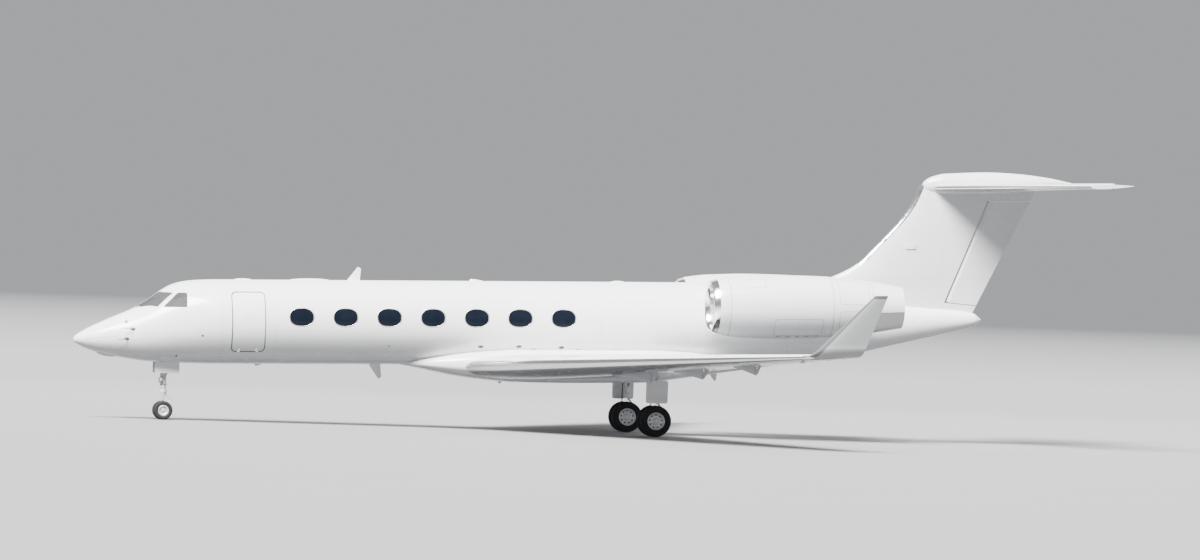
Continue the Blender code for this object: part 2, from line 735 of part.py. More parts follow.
def wing_point(span, fraction, above=0.5):
    """A point of the wing at a chord fraction: above is 1 on the upper skin and 0 on the lower."""
    part = (span - WING_ROOT_SPAN) / (WING_TIP_SPAN - WING_ROOT_SPAN)
    root = wing_ring(WING_ROOT_SPAN, 1)
    tip = wing_ring(WING_TIP_SPAN, 1)
    ring = [Vector(a).lerp(Vector(b), part) for a, b in zip(root, tip)]
    count = len(CHORD_STEPS)
    upper = ring[:count][::-1]
    lower = ring[count - 1:]
    heights = []
    nose, tail = upper[0].x, upper[-1].x
    x = nose + fraction * (tail - nose)
    for run in (lower, upper):
        for a, b in zip(run, run[1:]):
            if a.x <= x <= b.x:
                heights.append(a.z + (b.z - a.z) * (x - a.x) / (b.x - a.x))
                break
    return Vector((x, span, heights[0] + above * (heights[1] - heights[0])))


def height_along(run, x):
    """The second value of a run of (x, value) points at x."""
    for a, b in zip(run, run[1:]):
        if a[0] <= x <= b[0]:
            return a[1] + (b[1] - a[1]) * (x - a[0]) / (b[0] - a[0])
    return run[-1][1]


def mirrored(point, side):
    return Vector((point.x, side * point.y, point.z))


class Surface:
    """A hinged panel: its hinge line and the cutters that part it from the fixed structure."""

    def __init__(self, name, start, end, lengths, nose, lift):
        """start and end are the hinge's ends, lengths and nose the depths and radii there."""
        self.name = name
        self.start = Vector(start)
        self.end = Vector(end)
        self.along = (self.end - self.start).normalized()
        self.lift = (Vector(lift) - self.along * Vector(lift).dot(self.along)).normalized()
        self.aft = self.along.cross(self.lift)
        if self.aft.x < 0:
            self.aft = -self.aft
        self.lengths = lengths
        self.nose = nose

    def block(self, front, sides, low, high, behind=0.0):
        """A box on the hinge line: front ahead of it, sides past its ends, low to high about it."""
        bm = bmesh.new()
        rings = []
        for way, length in ((-1, self.lengths[0]), (1, self.lengths[1])):
            place = (self.start if way < 0 else self.end) + self.along * way * sides
            back = length + behind
            ring = []
            for a, b in ((-front, low), (back, low), (back, high), (-front, high)):
                ring.append(place + self.aft * a + self.lift * b)
            rings.append(ring)
        add_loft(bm, rings)
        return bm

    def nose_rod(self, grow=0.0):
        inset = self.along * NOSE_LAP
        return rod(self.start + inset, self.end - inset, self.nose[0] + grow, self.nose[1] + grow, sides=12)

    def pins(self, radius, reach):
        """One pin through each end along the hinge line."""
        bm = bmesh.new()
        for end, way in ((self.start, -1), (self.end, 1)):
            add_rod(bm, end - self.along * way * 0.04, end + self.along * way * reach, radius, sides=10)
        return bm



def copy_of(guide):
    """A guide's mesh, back in stations."""
    clone = bmesh.new()
    clone.from_mesh(guide.data)
    bmesh.ops.translate(clone, verts=clone.verts, vec=(ORIGIN_STATION, 0.0, 0.0))
    return clone


def fit_surface(surface, full, fixed, depth):
    """Makes a moving surface of the full body inside its block, and cuts its place in the fixed one."""
    name = surface.name
    moving = finish(name, copy_of(full), WHITE, pivot=(surface.start + surface.end) / 2)
    block = finish("fit_" + name, surface.block(-NOSE_LAP, 0.0, -depth, depth), None, cutter=True)
    combine(moving, block, "INTERSECT")
    unite(moving, finish("nose_" + name, surface.nose_rod(-NOSE_LAP), None, cutter=True))
    unite(moving, finish("pins_" + name, surface.pins(PIN_RADIUS, PIN_REACH), None, cutter=True))
    front = max(surface.nose) + PANEL_GAP
    room = surface.block(front, PANEL_GAP, -depth, depth, 0.5)
    carve(fixed, finish("cut_" + name, room, None, cutter=True))
    bores = surface.pins(PIN_RADIUS + BORE_GAP, PIN_REACH + 0.002)
    carve(fixed, finish("bore_" + name, bores, None, cutter=True))
    return moving


def wing(side, hand):
    rings = [wing_ring(span, side) for span in (WING_ROOT_SPAN, WING_TIP_SPAN)]
    body = finish("wing_" + hand, loft(rings), WHITE)
    plain = finish("guide_wing_" + hand, loft(rings), None, cutter=True)
    make_flap(side, hand, plain, body)
    make_aileron(side, hand, plain, body)
    make_spoiler(side, hand, plain, body)
    return body


def make_aileron(side, hand, plain, body):
    ends = [wing_point(span, AILERON_HINGE) for span in AILERON_SPAN]
    radii = []
    for span in AILERON_SPAN:
        radii.append((wing_point(span, AILERON_HINGE, 1).z - wing_point(span, AILERON_HINGE, 0).z) / 2)
    start, end = [mirrored(p, side) for p in ends]
    surface = Surface("aileron_" + hand, start, end, (0.9, 0.9), radii, (0, 0, 1))
    fit_surface(surface, plain, body, 0.3)


def make_spoiler(side, hand, plain, body):
    """A thin panel in the upper skin with a round nose on its hinge."""
    ends = [wing_point(span, SPOILER_HINGE, 1) for span in SPOILER_SPAN]
    skin = [wing_point(span, SPOILER_BACK, 1) for span in SPOILER_SPAN]
    fall = skin[0] - ends[0]
    lift = Vector((-fall.z, 0.0, fall.x)).normalized()
    start, end = [mirrored(p - lift * (SPOILER_HALF_THICKNESS + 0.001), side) for p in ends]
    lengths = [(SPOILER_BACK - SPOILER_HINGE) * wing_values(span)[1] for span in SPOILER_SPAN]
    surface = Surface("spoiler_" + hand, start, end, lengths, (SPOILER_HALF_THICKNESS,) * 2, lift)
    half = SPOILER_HALF_THICKNESS
    panel = surface.block(0.0, 0.0, -half, half)
    moving = finish(surface.name, panel, WHITE, pivot=(start + end) / 2)
    unite(moving, finish("nose_" + surface.name, surface.nose_rod(-0.0005), None, cutter=True))
    pins = surface.pins(SPOILER_PIN, PIN_REACH)
    unite(moving, finish("pins_" + surface.name, pins, None, cutter=True))
    room = surface.block(half + PANEL_GAP, PANEL_GAP, -half - PANEL_GAP, 0.3, PANEL_GAP)
    carve(body, finish("cut_" + surface.name, room, None, cutter=True))
    bores = surface.pins(SPOILER_PIN + BORE_GAP, PIN_REACH + 0.002)
    carve(body, finish("bore_" + surface.name, bores, None, cutter=True))



def make_flap(side, hand, plain, body):
    """A slotted flap that swings aft and down about a hinge line under its nose."""
    low = [wing_point(span, FLAP_FRONT, 0) for span in FLAP_SPAN]
    ends = [mirrored(p - Vector((0.03, 0, FLAP_HINGE_DROP)), side) for p in low]
    surface = Surface("flap_" + hand, ends[0], ends[1], (1.9, 1.9), (0.0, 0.0), (0, 0, 1))
    front = surface.aft.dot(mirrored(low[0], side) - ends[0])
    moving = finish(surface.name, copy_of(plain), WHITE, pivot=(ends[0] + ends[1]) / 2)
    block = surface.block(-front, 0.0, 0.0, 1.2)
    combine(moving, finish("fit_" + surface.name, block, None, cutter=True), "INTERSECT")
    room = surface.block(-front + PANEL_GAP, PANEL_GAP, -0.1, 1.4, 0.5)
    carve(body, finish("cut_" + surface.name, room, None, cutter=True))
    arms = bmesh.new()
    pins = bmesh.new()
    brackets = bmesh.new()
    bores = bmesh.new()
    reach = (surface.end - surface.start).length
    for share in FLAP_BRACKETS:
        foot = surface.start + surface.along * reach * share
        chord = wing_values(abs(foot.y))[1]
        arm = [(-0.028, -0.028), (0.03, -0.028), (0.053 * chord, 0.235), (front + 0.004, 0.245)]
        arm += [(front + 0.004, 0.13), (-0.028, 0.03)]
        flap_place(surface, foot, arms, arm, 0.026, 0.056)
        add_rod(pins, foot - surface.along * 0.022, foot + surface.along * 0.040, FLAP_PIN, sides=10)
        wedge = [(-0.18 * chord, 0.27), (-0.16 * chord, 0.13), (-0.05, -0.05), (0.028, -0.04)]
        wedge += [(0.028, 0.03), (front - 0.012, 0.10), (front - 0.012, 0.27)]
        flap_place(surface, foot, brackets, wedge, -0.020, 0.020)
        bore_ends = foot - surface.along * 0.024, foot + surface.along * 0.05
        add_rod(bores, *bore_ends, FLAP_PIN + BORE_GAP, sides=10)
    unite(moving, finish("arms_" + surface.name, arms, None, cutter=True))
    unite(moving, finish("pins_" + surface.name, pins, None, cutter=True))
    unite(body, finish("brackets_" + surface.name, brackets, None, cutter=True))
    carve(body, finish("bores_" + surface.name, bores, None, cutter=True))


def flap_place(surface, foot, bm, outline, near, far):
    """A plate square to the hinge line, from near to far along it."""
    def point(p, along):
        return foot + surface.aft * p[0] + surface.lift * p[1] + surface.along * along

    add_prism(bm, outline, lambda p: point(p, near), lambda p: point(p, far))


def winglet(side, hand):
    """The blended tip: a curve upwards from the wing's end, then a straight canted blade."""
    nose, chord, level, thickness, twist = wing_values(WING_TIP_SPAN)
    start = WING_TIP_SPAN + FIT
    rings = []
    arc_steps = 5
    for k in range(arc_steps + 1):
        angle = WINGLET_CANT * k / arc_steps
        span = start + WINGLET_BLEND * math.sin(angle)
        height = WINGLET_BLEND * (1 - math.cos(angle))
        rings.append((span, height, angle))
    base_span, base_height, angle = rings[-1]
    top_span, top_level = WINGLET_TOP
    rings.append((top_span, top_level - level, angle))
    lengths = [0.0]
    for a, b in zip(rings, rings[1:]):
        lengths.append(lengths[-1] + math.hypot(b[0] - a[0], b[1] - a[1]))
    blade = []
    for (span, height, angle), length in zip(rings, lengths):
        part = length / lengths[-1]
        ring_chord = chord + part * (WINGLET_TOP_CHORD - chord)
        ring_nose = nose + part * (WINGLET_TOP_STATION - nose)
        tall = thickness + part * (0.085 - thickness)
        ring = []
        for x, z in foil(ring_chord, tall, 0.012 * (1 - part)):
            z -= x * math.sin(twist) * (1 - part)
            out = span - z * math.sin(angle)
            ring.append((ring_nose + x, side * out, level + height + z * math.cos(angle)))
        blade.append(ring)
    return finish("winglet_" + hand, loft(blade), WHITE)


def fin_ring(level):
    """A level section of the fin: its nose follows the dorsal fillet and its tail is straight."""
    nose = smooth([(z, x) for z, x in FIN_NOSE], level)
    tail = FIN_TAIL_STATION + FIN_TAIL_SLOPE * (level - FIN_TAIL_LEVEL)
    chord = tail - nose
    half_height = 0.5 * 0.37 * (1 - 0.055 * (level - 0.5))
    thickness = 2 * half_height / chord
    return [(nose + x, y, level) for x, y in foil(chord, thickness, 0.0)]


def bullet():
    rings = []
    for station, level, tall, wide in BULLET:
        angles = [2 * math.pi * k / 12 for k in range(12)]
        rings.append([(station, wide * math.sin(a), level + tall * math.cos(a)) for a in angles])
    return loft(rings)


def fin():
    levels = [0.25, 1.02, 1.24, 1.50, 1.72, 2.12, 3.44, 4.05]
    rings = [fin_ring(z) for z in levels]
    body = finish("fin", loft(rings), WHITE)
    plain = finish("guide_fin", loft(rings), None, cutter=True)
    make_rudder(plain, body)
    unite(body, finish("add_bullet", bullet(), None, cutter=True))
    carve(body, hull_envelope("cut_hull_from_fin", 19.0, 26.26))
    return body


def rudder_line():
    foot = Vector((RUDDER_FOOT[0], 0.0, RUDDER_FOOT[1]))
    head = Vector((RUDDER_HEAD[0], 0.0, RUDDER_HEAD[1]))
    return foot, head, (head - foot).normalized()


def rudder_pin_bore(name, foot):
    start, end, along = rudder_line()
    place, way = (start, -1) if foot else (end, 1)
    bore = rod(place - along * way * 0.3, place + along * way * 0.122, PIN_RADIUS + BORE_GAP)
    return finish(name, bore, None, cutter=True)


def make_rudder(plain, body):
    foot, head, along = rudder_line()
    radii = []
    for point in (foot, head):
        upper = fin_ring(point.z)[: len(CHORD_STEPS)][::-1]
        radii.append(height_along(upper, point.x))
    moving = finish("rudder", copy_of(plain), WHITE, pivot=(foot + head) / 2)
    outline = [(foot.x, foot.z), (foot.x + 1.3, foot.z - 0.12), (head.x + 1.6, head.z), (head.x, head.z)]
    block = side_prism([(x + NOSE_LAP, z) for x, z in outline], -0.5, 0.5)
    combine(moving, finish("fit_rudder", block, None, cutter=True), "INTERSECT")
    inset = along * NOSE_LAP
    nose = rod(foot + inset * 8, head - inset, radii[0] - NOSE_LAP, radii[1] - NOSE_LAP, sides=12)
    unite(moving, finish("nose_rudder", nose, None, cutter=True))
    pins = bmesh.new()
    add_rod(pins, foot + along * 0.05, foot - along * 0.12, PIN_RADIUS)
    add_rod(pins, head - along * 0.05, head + along * PIN_REACH, PIN_RADIUS)
    unite(moving, finish("pins_rudder", pins, None, cutter=True))
    front = max(radii) + PANEL_GAP
    room = [
        (foot.x - front - 0.03, foot.z - PANEL_GAP), (foot.x, foot.z - 0.022), (foot.x + 2.0, foot.z - 0.207),
        (head.x + 2.0, head.z + 0.064), (head.x + 0.10, head.z + 0.028),
        (head.x - front * along.z, head.z + front * along.x + PANEL_GAP), (head.x - front - 0.03, head.z),
    ]
    carve(body, finish("cut_rudder", side_prism(room, -0.5, 0.5), None, cutter=True))
    carve(body, rudder_pin_bore("bore_rudder_head", foot=False))
    carve(body, rudder_pin_bore("bore_rudder_foot", foot=True))


def tailplane_values(span):
    nose = TAILPLANE_NOSE_STATION + TAILPLANE_NOSE_SLOPE * abs(span)
    chord = TAILPLANE_CHORD_CENTRE + TAILPLANE_CHORD_SLOPE * abs(span)
    return nose, chord


def tailplane_ring(span, grow=0.0):
    nose, chord = tailplane_values(span)
    ring = []
    level = TAILPLANE_LEVEL + TAILPLANE_RISE * abs(span)
    for x, z in foil(chord, TAILPLANE_THICKNESS, 0.0, grow):
        ring.append((nose + x, span, level + z - x * math.sin(TAILPLANE_TILT)))
    return ring


def tailplane():
    spans = (-TAILPLANE_HALF_SPAN, 0.0, TAILPLANE_HALF_SPAN)
    rings = [tailplane_ring(span) for span in spans]
    body = finish("tailplane", loft(rings), WHITE)
    plain = finish("guide_tailplane", loft(rings), None, cutter=True)
    for side, hand in ((-1, "left"), (1, "right")):
        points = []
        radii = []
        for span in ELEVATOR_SPAN:
            nose, chord = tailplane_values(span)
            upper = foil(chord, TAILPLANE_THICKNESS, 0.0)[: len(CHORD_STEPS)][::-1]
            depth = ELEVATOR_HINGE * chord
            radii.append(height_along(upper, depth))
            level = TAILPLANE_LEVEL + TAILPLANE_RISE * span - depth * math.sin(TAILPLANE_TILT)
            points.append(Vector((nose + depth, side * span, level)))
        surface = Surface("elevator_" + hand, points[0], points[1], (1.6, 1.6), radii, (0, 0, 1))
        fit_surface(surface, plain, body, 0.4)
    return body


# Engines.
def nacelle_ring(station, radius, side, outer, grow=0.0):
    """A round section of the nacelle. The cowl's outside is a little narrower than it is tall."""
    wide = NACELLE_SQUASH if outer and 17.9 < station < 23.0 else 1.0
    ring = []
    for k in range(NACELLE_SIDES):
        angle = 2 * math.pi * k / NACELLE_SIDES
        out = (radius + grow) * wide * math.sin(angle)
        ring.append((station, side * ENGINE_SPAN + out, ENGINE_LEVEL + (radius + grow) * math.cos(angle)))
    return ring


def nacelle(side, hand):
    rings = [nacelle_ring(*point, side, True) for point in NACELLE_OUTER]
    rings += [nacelle_ring(*point, side, False) for point in NACELLE_INNER]
    return finish("nacelle_" + hand, loft(rings, closed=True), WHITE)


def engine(side, hand):
    """The engine as one plain block, held in the duct by its struts."""
    centre = (0.0, side * ENGINE_SPAN, ENGINE_LEVEL)
    front = FAN_STATION + 0.13
    profile = [
        (front, 0.20), (front, 0.30), (front + 0.5, 0.36), (front + 2.2, 0.40), (front + 3.1, 0.34),
        (front + 3.9, 0.22), (front + 4.25, 0.10),
    ]
    block = finish("engine_" + hand, turned(profile, centre, (1, 0, 0), 20, closed=False), DARK)
    struts = bmesh.new()
    for k in range(STRUT_COUNT):
        angle = 2 * math.pi * (k + 0.5) / STRUT_COUNT
        strut = Vector((0.0, math.sin(angle), math.cos(angle)))
        across = Vector((0.0, math.cos(angle), -math.sin(angle)))
        rows = []
        for radius in (0.25, 0.66):
            row = []
            for x, w in ((0.0, 0.0), (0.12, 0.02), (0.45, 0.0), (0.12, -0.02)):
                row.append(Vector(centre) + Vector((front + 0.55 + x, 0, 0)) + strut * radius + across * w)
            rows.append(row)
        add_loft(struts, rows)
    unite(block, finish("struts_" + hand, struts, None, cutter=True))
    inner = sorted(NACELLE_INNER)
    duct = [(s, r + 0.4) for s, r in inner] + [(s, r - SEAT_GAP) for s, r in inner[::-1]]
    sleeve = turned(duct, centre, (1, 0, 0), NACELLE_SIDES)
    return carve(block, finish("trim_struts_" + hand, sleeve, None, cutter=True))


def fan(side, hand):
    """Spinner, hub and wide-chord blades."""
    centre = (0.0, side * ENGINE_SPAN, ENGINE_LEVEL)
    hub = [(-0.34, 0.012), (-0.26, 0.085), (-0.12, 0.155), (0.0, 0.19), (0.13 - SEAT_GAP, 0.21)]
    spinner = turned([(FAN_STATION + a, r) for a, r in hub], centre, (1, 0, 0), 12, closed=False)
    body = finish("fan_" + hand, spinner, METAL, pivot=(FAN_STATION, *centre[1:]))
    blades = bmesh.new()
    for k in range(FAN_BLADES):
        turn = Matrix.Rotation(2 * math.pi * k / FAN_BLADES, 3, "X")
        rings = []
        sections = ((0.13, 25, 0.17, 0.018), (FAN_RADIUS - 0.006, 58, 0.19, 0.007))
        for radius, stagger, chord, thick in sections:
            a = math.radians(stagger)
            along = Vector((math.cos(a), math.sin(a), 0)) * chord / 2
            across = Vector((-math.sin(a), math.cos(a), 0)) * thick / 2
            up = Vector((0, 0, radius))
            ring = [up - along, up + across, up + along, up - across]
            rings.append([Vector(centre) + Vector((FAN_STATION, 0, 0)) + turn @ p for p in ring])
        add_loft(blades, rings)
    return unite(body, finish("blades_" + hand, blades, None, cutter=True))


def pylon(side, hand):
    """The stub wing between the fuselage and the nacelle, seated on both."""
    rings = []
    for span, nose, chord, level in ((0.75, 19.55, 3.1, 0.42), (ENGINE_SPAN - 0.55, 19.40, 3.1, 0.50)):
        rings.append([(nose + x, side * span, level + z) for x, z in foil(chord, 0.075, 0.0)])
    body = finish("pylon_" + hand, loft(rings), WHITE)
    carve(body, hull_envelope("cut_hull_from_pylon_" + hand, 18.5, 24.5))
    rings = [nacelle_ring(*point, side, True, SEAT_GAP) for point in NACELLE_OUTER]
    return carve(body, finish("cut_nacelle_from_pylon_" + hand, loft(rings), None, cutter=True))


# Landing gear, drawn on the ground.
def ground_x(station, level=0.0):
    """The world X of a station on the airframe at a level."""
    return world_point((station, 0.0, level)).x


NOSE_GEAR_X = ground_x(NOSE_GEAR_STATION, -1.2)
MAIN_GEAR_X = NOSE_GEAR_X + WHEELBASE


def wheel_set(name, x, y, tyre, half_track):
    """Two rims on one live axle."""
    radius, width = tyre
    rim = radius * 0.56
    half = width / 2
    axle = rod((x, y - half_track, radius), (x, y + half_track, radius), AXLE_RADIUS, sides=16)
    body = finish(name, axle, STEEL, GROUND, pivot=(x, y, radius))
    for way in (-1, 1):
        outer = half * 0.86
        profile = [
            (-outer, rim), (-outer, rim - 0.03), (-outer * 0.25, 0.035), (outer * 0.55, 0.030),
            (outer, rim - 0.03), (outer, rim),
        ]
        centre = (x, y + way * half_track, radius)
        rim_name = name + ("_rim_a" if way < 0 else "_rim_b")
        shape = turned(profile, centre, (0, way, 0), TYRE_SIDES)
        unite(body, finish(rim_name, shape, None, GROUND, cutter=True))
    return body


def tyre(name, x, y, size, pivot_y):
    """A tyre seated just outside its rim."""
    radius, width = size
    seat = radius * 0.56 + 0.0004
    half = width / 2
    profile = [
        (-half * 0.80, seat), (-half, radius * 0.75), (-half * 0.86, radius * 0.93), (-half * 0.42, radius),
        (half * 0.42, radius), (half * 0.86, radius * 0.93), (half, radius * 0.75), (half * 0.80, seat),
    ]
    shape = turned(profile, (x, y, radius), (0, 1, 0), TYRE_SIDES)
    return finish(name, shape, RUBBER, GROUND, pivot=(x, pivot_y, radius))



def nose_gear():
    x = NOSE_GEAR_X
    axle = NOSE_TYRE[0]
    top = world_point((NOSE_GEAR_STATION, 0.0, DECK_LEVEL - FLOOR_THICKNESS)).z
    strut = rod((x, 0, NOSE_TUBE_END), (x, 0, top + NOSE_LEG_SEAT), NOSE_LEG_RADIUS, sides=12)
    strut = finish("nose_gear_strut", strut, STEEL, GROUND)
    braces = bmesh.new()
    add_rod(braces, (x, 0, 1.12), (x + 0.30, 0, top - 0.10), 0.035)
    for way in (-1, 1):
        add_rod(braces, (x + 0.02, 0, top - 0.08), (x + 0.02, way * 0.20, top - 0.08), 0.030)
    unite(strut, finish("add_nose_braces", braces, None, GROUND, cutter=True))
    fork = rod((x, 0, axle - 0.03), (x, 0, NOSE_TUBE_END - SEAT_GAP), 0.055, sides=12)
    fork = finish("nose_gear_fork", fork, STEEL, GROUND, pivot=(x, 0, NOSE_TUBE_END))
    extras = bmesh.new()
    add_rod(extras, (x, 0, NOSE_TUBE_END - 0.11), (x, 0, NOSE_TUBE_END - SEAT_GAP * 2), 0.105, sides=12)
    add_rod(extras, (x, -0.070, axle), (x, 0.070, axle), AXLE_RADIUS + 0.028, sides=12)
    unite(fork, finish("add_nose_fork", extras, None, GROUND, cutter=True))
    knee = (x + 0.24, 0, (axle + NOSE_TUBE_END) / 2)
    first = rod((x + 0.02, 0, NOSE_TUBE_END - 0.06), knee, 0.024, sides=8)
    second = rod((x + 0.02, 0, axle + 0.08), knee, 0.0235, sides=8)
    unite(fork, finish("add_nose_link_upper", first, None, GROUND, cutter=True))
    unite(fork, finish("add_nose_link_lower", second, None, GROUND, cutter=True))
    bore = rod((x, -0.2, axle), (x, 0.2, axle), AXLE_RADIUS + BORE_GAP, sides=16)
    carve(fork, finish("bore_nose_axle", bore, None, GROUND, cutter=True))
    wheel_set("nose_wheels", x, 0.0, NOSE_TYRE, NOSE_HALF_TRACK)
    for side, hand in ((-1, "left"), (1, "right")):
        tyre("nose_tyre_" + hand, x, side * NOSE_HALF_TRACK, NOSE_TYRE, 0.0)


def nose_bay(body, floor):
    """Opens the nose gear bay in the skin and seats the leg under the cockpit floor."""
    bay = plan_prism([(2.26, -0.26), (3.02, -0.26), (3.02, 0.26), (2.26, 0.26)], -1.4, -0.95)
    carve(body, finish("cut_nose_bay", bay, None, cutter=True))
    top = world_point((NOSE_GEAR_STATION, 0.0, DECK_LEVEL - FLOOR_THICKNESS)).z
    pocket_top = (NOSE_GEAR_X, 0, top + NOSE_LEG_SEAT + FIT)
    pocket = rod((NOSE_GEAR_X, 0, top - 0.2), pocket_top, NOSE_LEG_RADIUS + FIT, sides=12)
    carve(floor, finish("cut_nose_leg_pocket", pocket, None, GROUND, cutter=True))


def nose_gear_door(side, hand):
    """A bay door hanging open beside the leg, with its hinge arms on the bay's edge."""
    outline = rounded_outline((2.29, -1.46), (2.99, -1.135), 0.06, 3)
    door = side_prism(outline, side * 0.2595, side * 0.2355)
    return finish("nose_gear_door_" + hand, door, WHITE)


def main_gear(side, hand, wing_body):
    x = MAIN_GEAR_X
    y = side * TRACK / 2
    axle = MAIN_TYRE[0]
    tube_end = MAIN_TUBE_END
    tube = rod((x, y, tube_end), (x, y, MAIN_LEG_TOP), MAIN_LEG_RADIUS, sides=12)
    strut = finish("main_gear_strut_" + hand, tube, STEEL, GROUND)
    piston = bmesh.new()
    add_rod(piston, (x, y, axle - 0.04), (x, y, tube_end + 0.02), 0.072, sides=12)
    unite(strut, finish("add_piston_" + hand, piston, None, GROUND, cutter=True))
    hub = rod((x, y - 0.095, axle), (x, y + 0.095, axle), AXLE_RADIUS + 0.035, sides=12)
    unite(strut, finish("add_axle_hub_" + hand, hub, None, GROUND, cutter=True))
    brace_foot = Vector((x, y, tube_end + 0.14))
    brace_top = Vector((x, y - side * BRACE_REACH, BRACE_TOP))
    brace = rod(brace_foot, brace_top, BRACE_RADIUS, sides=12)
    unite(strut, finish("add_side_brace_" + hand, brace, None, GROUND, cutter=True))
    seat_end = brace_top + (brace_top - brace_foot).normalized() * FIT
    seat = rod(brace_foot.lerp(brace_top, 0.5), seat_end, BRACE_RADIUS + FIT, sides=12)
    carve(wing_body, finish("cut_side_brace_seat_" + hand, seat, None, GROUND, cutter=True))
    knee = (x + 0.30, y, (axle + tube_end) / 2 + 0.02)
    upper = rod((x + 0.02, y, tube_end + 0.04), knee, 0.030, sides=8)
    unite(strut, finish("add_upper_link_" + hand, upper, None, GROUND, cutter=True))
    lower = rod((x + 0.02, y, axle + 0.08), knee, 0.0295, sides=8)
    unite(strut, finish("add_lower_link_" + hand, lower, None, GROUND, cutter=True))
    bore = rod((x, y - 0.3, axle), (x, y + 0.3, axle), AXLE_RADIUS + BORE_GAP, sides=16)
    carve(strut, finish("bore_main_axle_" + hand, bore, None, GROUND, cutter=True))
    pocket = rod((x, y, 1.2), (x, y, MAIN_LEG_TOP + FIT), MAIN_LEG_RADIUS + FIT, sides=12)
    carve(wing_body, finish("cut_main_leg_pocket_" + hand, pocket, None, GROUND, cutter=True))
    wheel_set("main_wheels_" + hand, x, y, MAIN_TYRE, MAIN_HALF_TRACK)
    for way, place in ((side, "outer"), (-side, "inner")):
        tyre("main_tyre_" + hand + "_" + place, x, y + way * MAIN_HALF_TRACK, MAIN_TYRE, y)
    main_gear_door(side, hand, x, y)


def main_gear_door(side, hand, x, y):
    """The leg door, carried on the leg's outboard face by two brackets."""
    outer = y + side * 0.42
    outline = rounded_outline((x - 0.33, 0.95), (x + 0.30, 1.60), 0.08, 3)
    door = bmesh.new()
    inner = outer - side * 0.025
    add_prism(door, outline, lambda p: (p[0], outer, p[1]), lambda p: (p[0], inner, p[1]))
    door = finish("main_gear_door_" + hand, door, WHITE, GROUND)
    arms = bmesh.new()
    for level in (1.10, 1.45):
        add_rod(arms, (x, y + side * 0.05, level), (x, outer - side * 0.01, level), 0.022, sides=10)
    unite(door, finish("add_door_arms_" + hand, arms, None, GROUND, cutter=True))
    seat = rod((x, y, 0.9), (x, y, 1.7), MAIN_LEG_RADIUS + FIT, sides=12)
    carve(door, finish("cut_leg_from_door_" + hand, seat, None, GROUND, cutter=True))


# Antennas.
def antenna(name, station, sign, span, chord, sweep):
    """A swept blade antenna on the crown or the keel."""
    root = smooth(CROWN if sign > 0 else KEEL, station)
    rings = []
    for part in (-0.06, 1.0):
        size = chord * (1 - 0.72 * max(part, 0))
        nose = station + sweep * part
        level = root + sign * span * part
        rings.append([(nose + x, y, level) for x, y in foil(size, 0.10, 0.0, tip=0.002)])
    body = finish(name, loft(rings), WHITE)
    return carve(body, hull_envelope("cut_hull_from_" + name, 5.0, 10.5))


def build():
    nose_radome()
    cockpit_body = cockpit()
    cabin()
    aft_fuselage()
    tail_cone()
    belly = belly_fairing()
    floor = cabin_floor()
    instrument_panel()
    airstair_door()
    fin_body = fin()
    tailplane()
    nose_gear()
    nose_bay(cockpit_body, floor)
    for side, hand in ((-1, "left"), (1, "right")):
        cabin_windows(side, hand)
        pilot_seat(side, hand)
        wing_body = wing(side, hand)
        winglet(side, hand)
        nacelle(side, hand)
        engine(side, hand)
        fan(side, hand)
        pylon(side, hand)
        nose_gear_door(side, hand)
        main_gear(side, hand, wing_body)
        root = [wing_ring(span, side, 0.0008) for span in (WING_ROOT_SPAN, WING_TIP_SPAN)]
        root[0] = [(x, y - side * 0.0008, z) for x, y, z in root[0]]
        carve(belly, finish("cut_wing_from_belly_" + hand, loft(root), None, cutter=True))
    carve(belly, hull_envelope("cut_hull_from_belly", 8.5, 21.0))
    slot = [tailplane_ring(span, 0.0008) for span in (-1.0, 0.0, 1.0)]
    carve(fin_body, finish("cut_tailplane_from_fin", loft(slot), None, cutter=True))
    antenna("antenna_top", 7.79, 1, 0.37, 0.36, 0.30)
    antenna("antenna_bottom", 8.42, -1, 0.40, 0.34, 0.28)


build()
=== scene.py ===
"""The looks of a parked twin-engine business jet: smooth skins, glazing, gear detail and finishes.

Airframe pieces are drawn in stations: X is metres aft of the nose tip, Y is metres to the
right of the centre plane and Z is metres above the axis of the cabin tube. AIRFRAME sets
that frame on the ground with its parked pitch. Landing gear is drawn on the ground.
"""

import math

import bmesh
import bpy
from mathutils import Matrix, Vector


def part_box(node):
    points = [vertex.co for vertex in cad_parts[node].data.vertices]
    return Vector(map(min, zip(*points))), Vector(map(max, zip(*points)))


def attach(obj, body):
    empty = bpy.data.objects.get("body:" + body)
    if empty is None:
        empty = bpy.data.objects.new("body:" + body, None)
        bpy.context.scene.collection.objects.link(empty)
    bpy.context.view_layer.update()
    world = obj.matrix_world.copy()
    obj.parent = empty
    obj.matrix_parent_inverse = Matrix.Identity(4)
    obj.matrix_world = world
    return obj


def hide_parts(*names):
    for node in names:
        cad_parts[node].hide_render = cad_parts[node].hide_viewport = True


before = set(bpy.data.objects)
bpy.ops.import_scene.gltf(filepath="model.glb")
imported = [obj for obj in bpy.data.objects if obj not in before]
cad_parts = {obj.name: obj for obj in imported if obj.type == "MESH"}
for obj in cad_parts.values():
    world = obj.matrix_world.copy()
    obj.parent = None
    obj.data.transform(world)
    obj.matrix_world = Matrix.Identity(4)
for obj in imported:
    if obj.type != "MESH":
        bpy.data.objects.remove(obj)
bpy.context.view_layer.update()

# The airframe's place on the ground.
ORIGIN_STATION = 14.645
AXIS_HEIGHT = 3.115
PITCH = math.radians(1.6)
AIRFRAME = (
    Matrix.Translation((0, 0, AXIS_HEIGHT))
    @ Matrix.Rotation(-PITCH, 4, "Y")
    @ Matrix.Translation((-ORIGIN_STATION, 0, 0))
)
GROUND = Matrix.Identity(4)
HANDS = ((-1, "left"), (1, "right"))

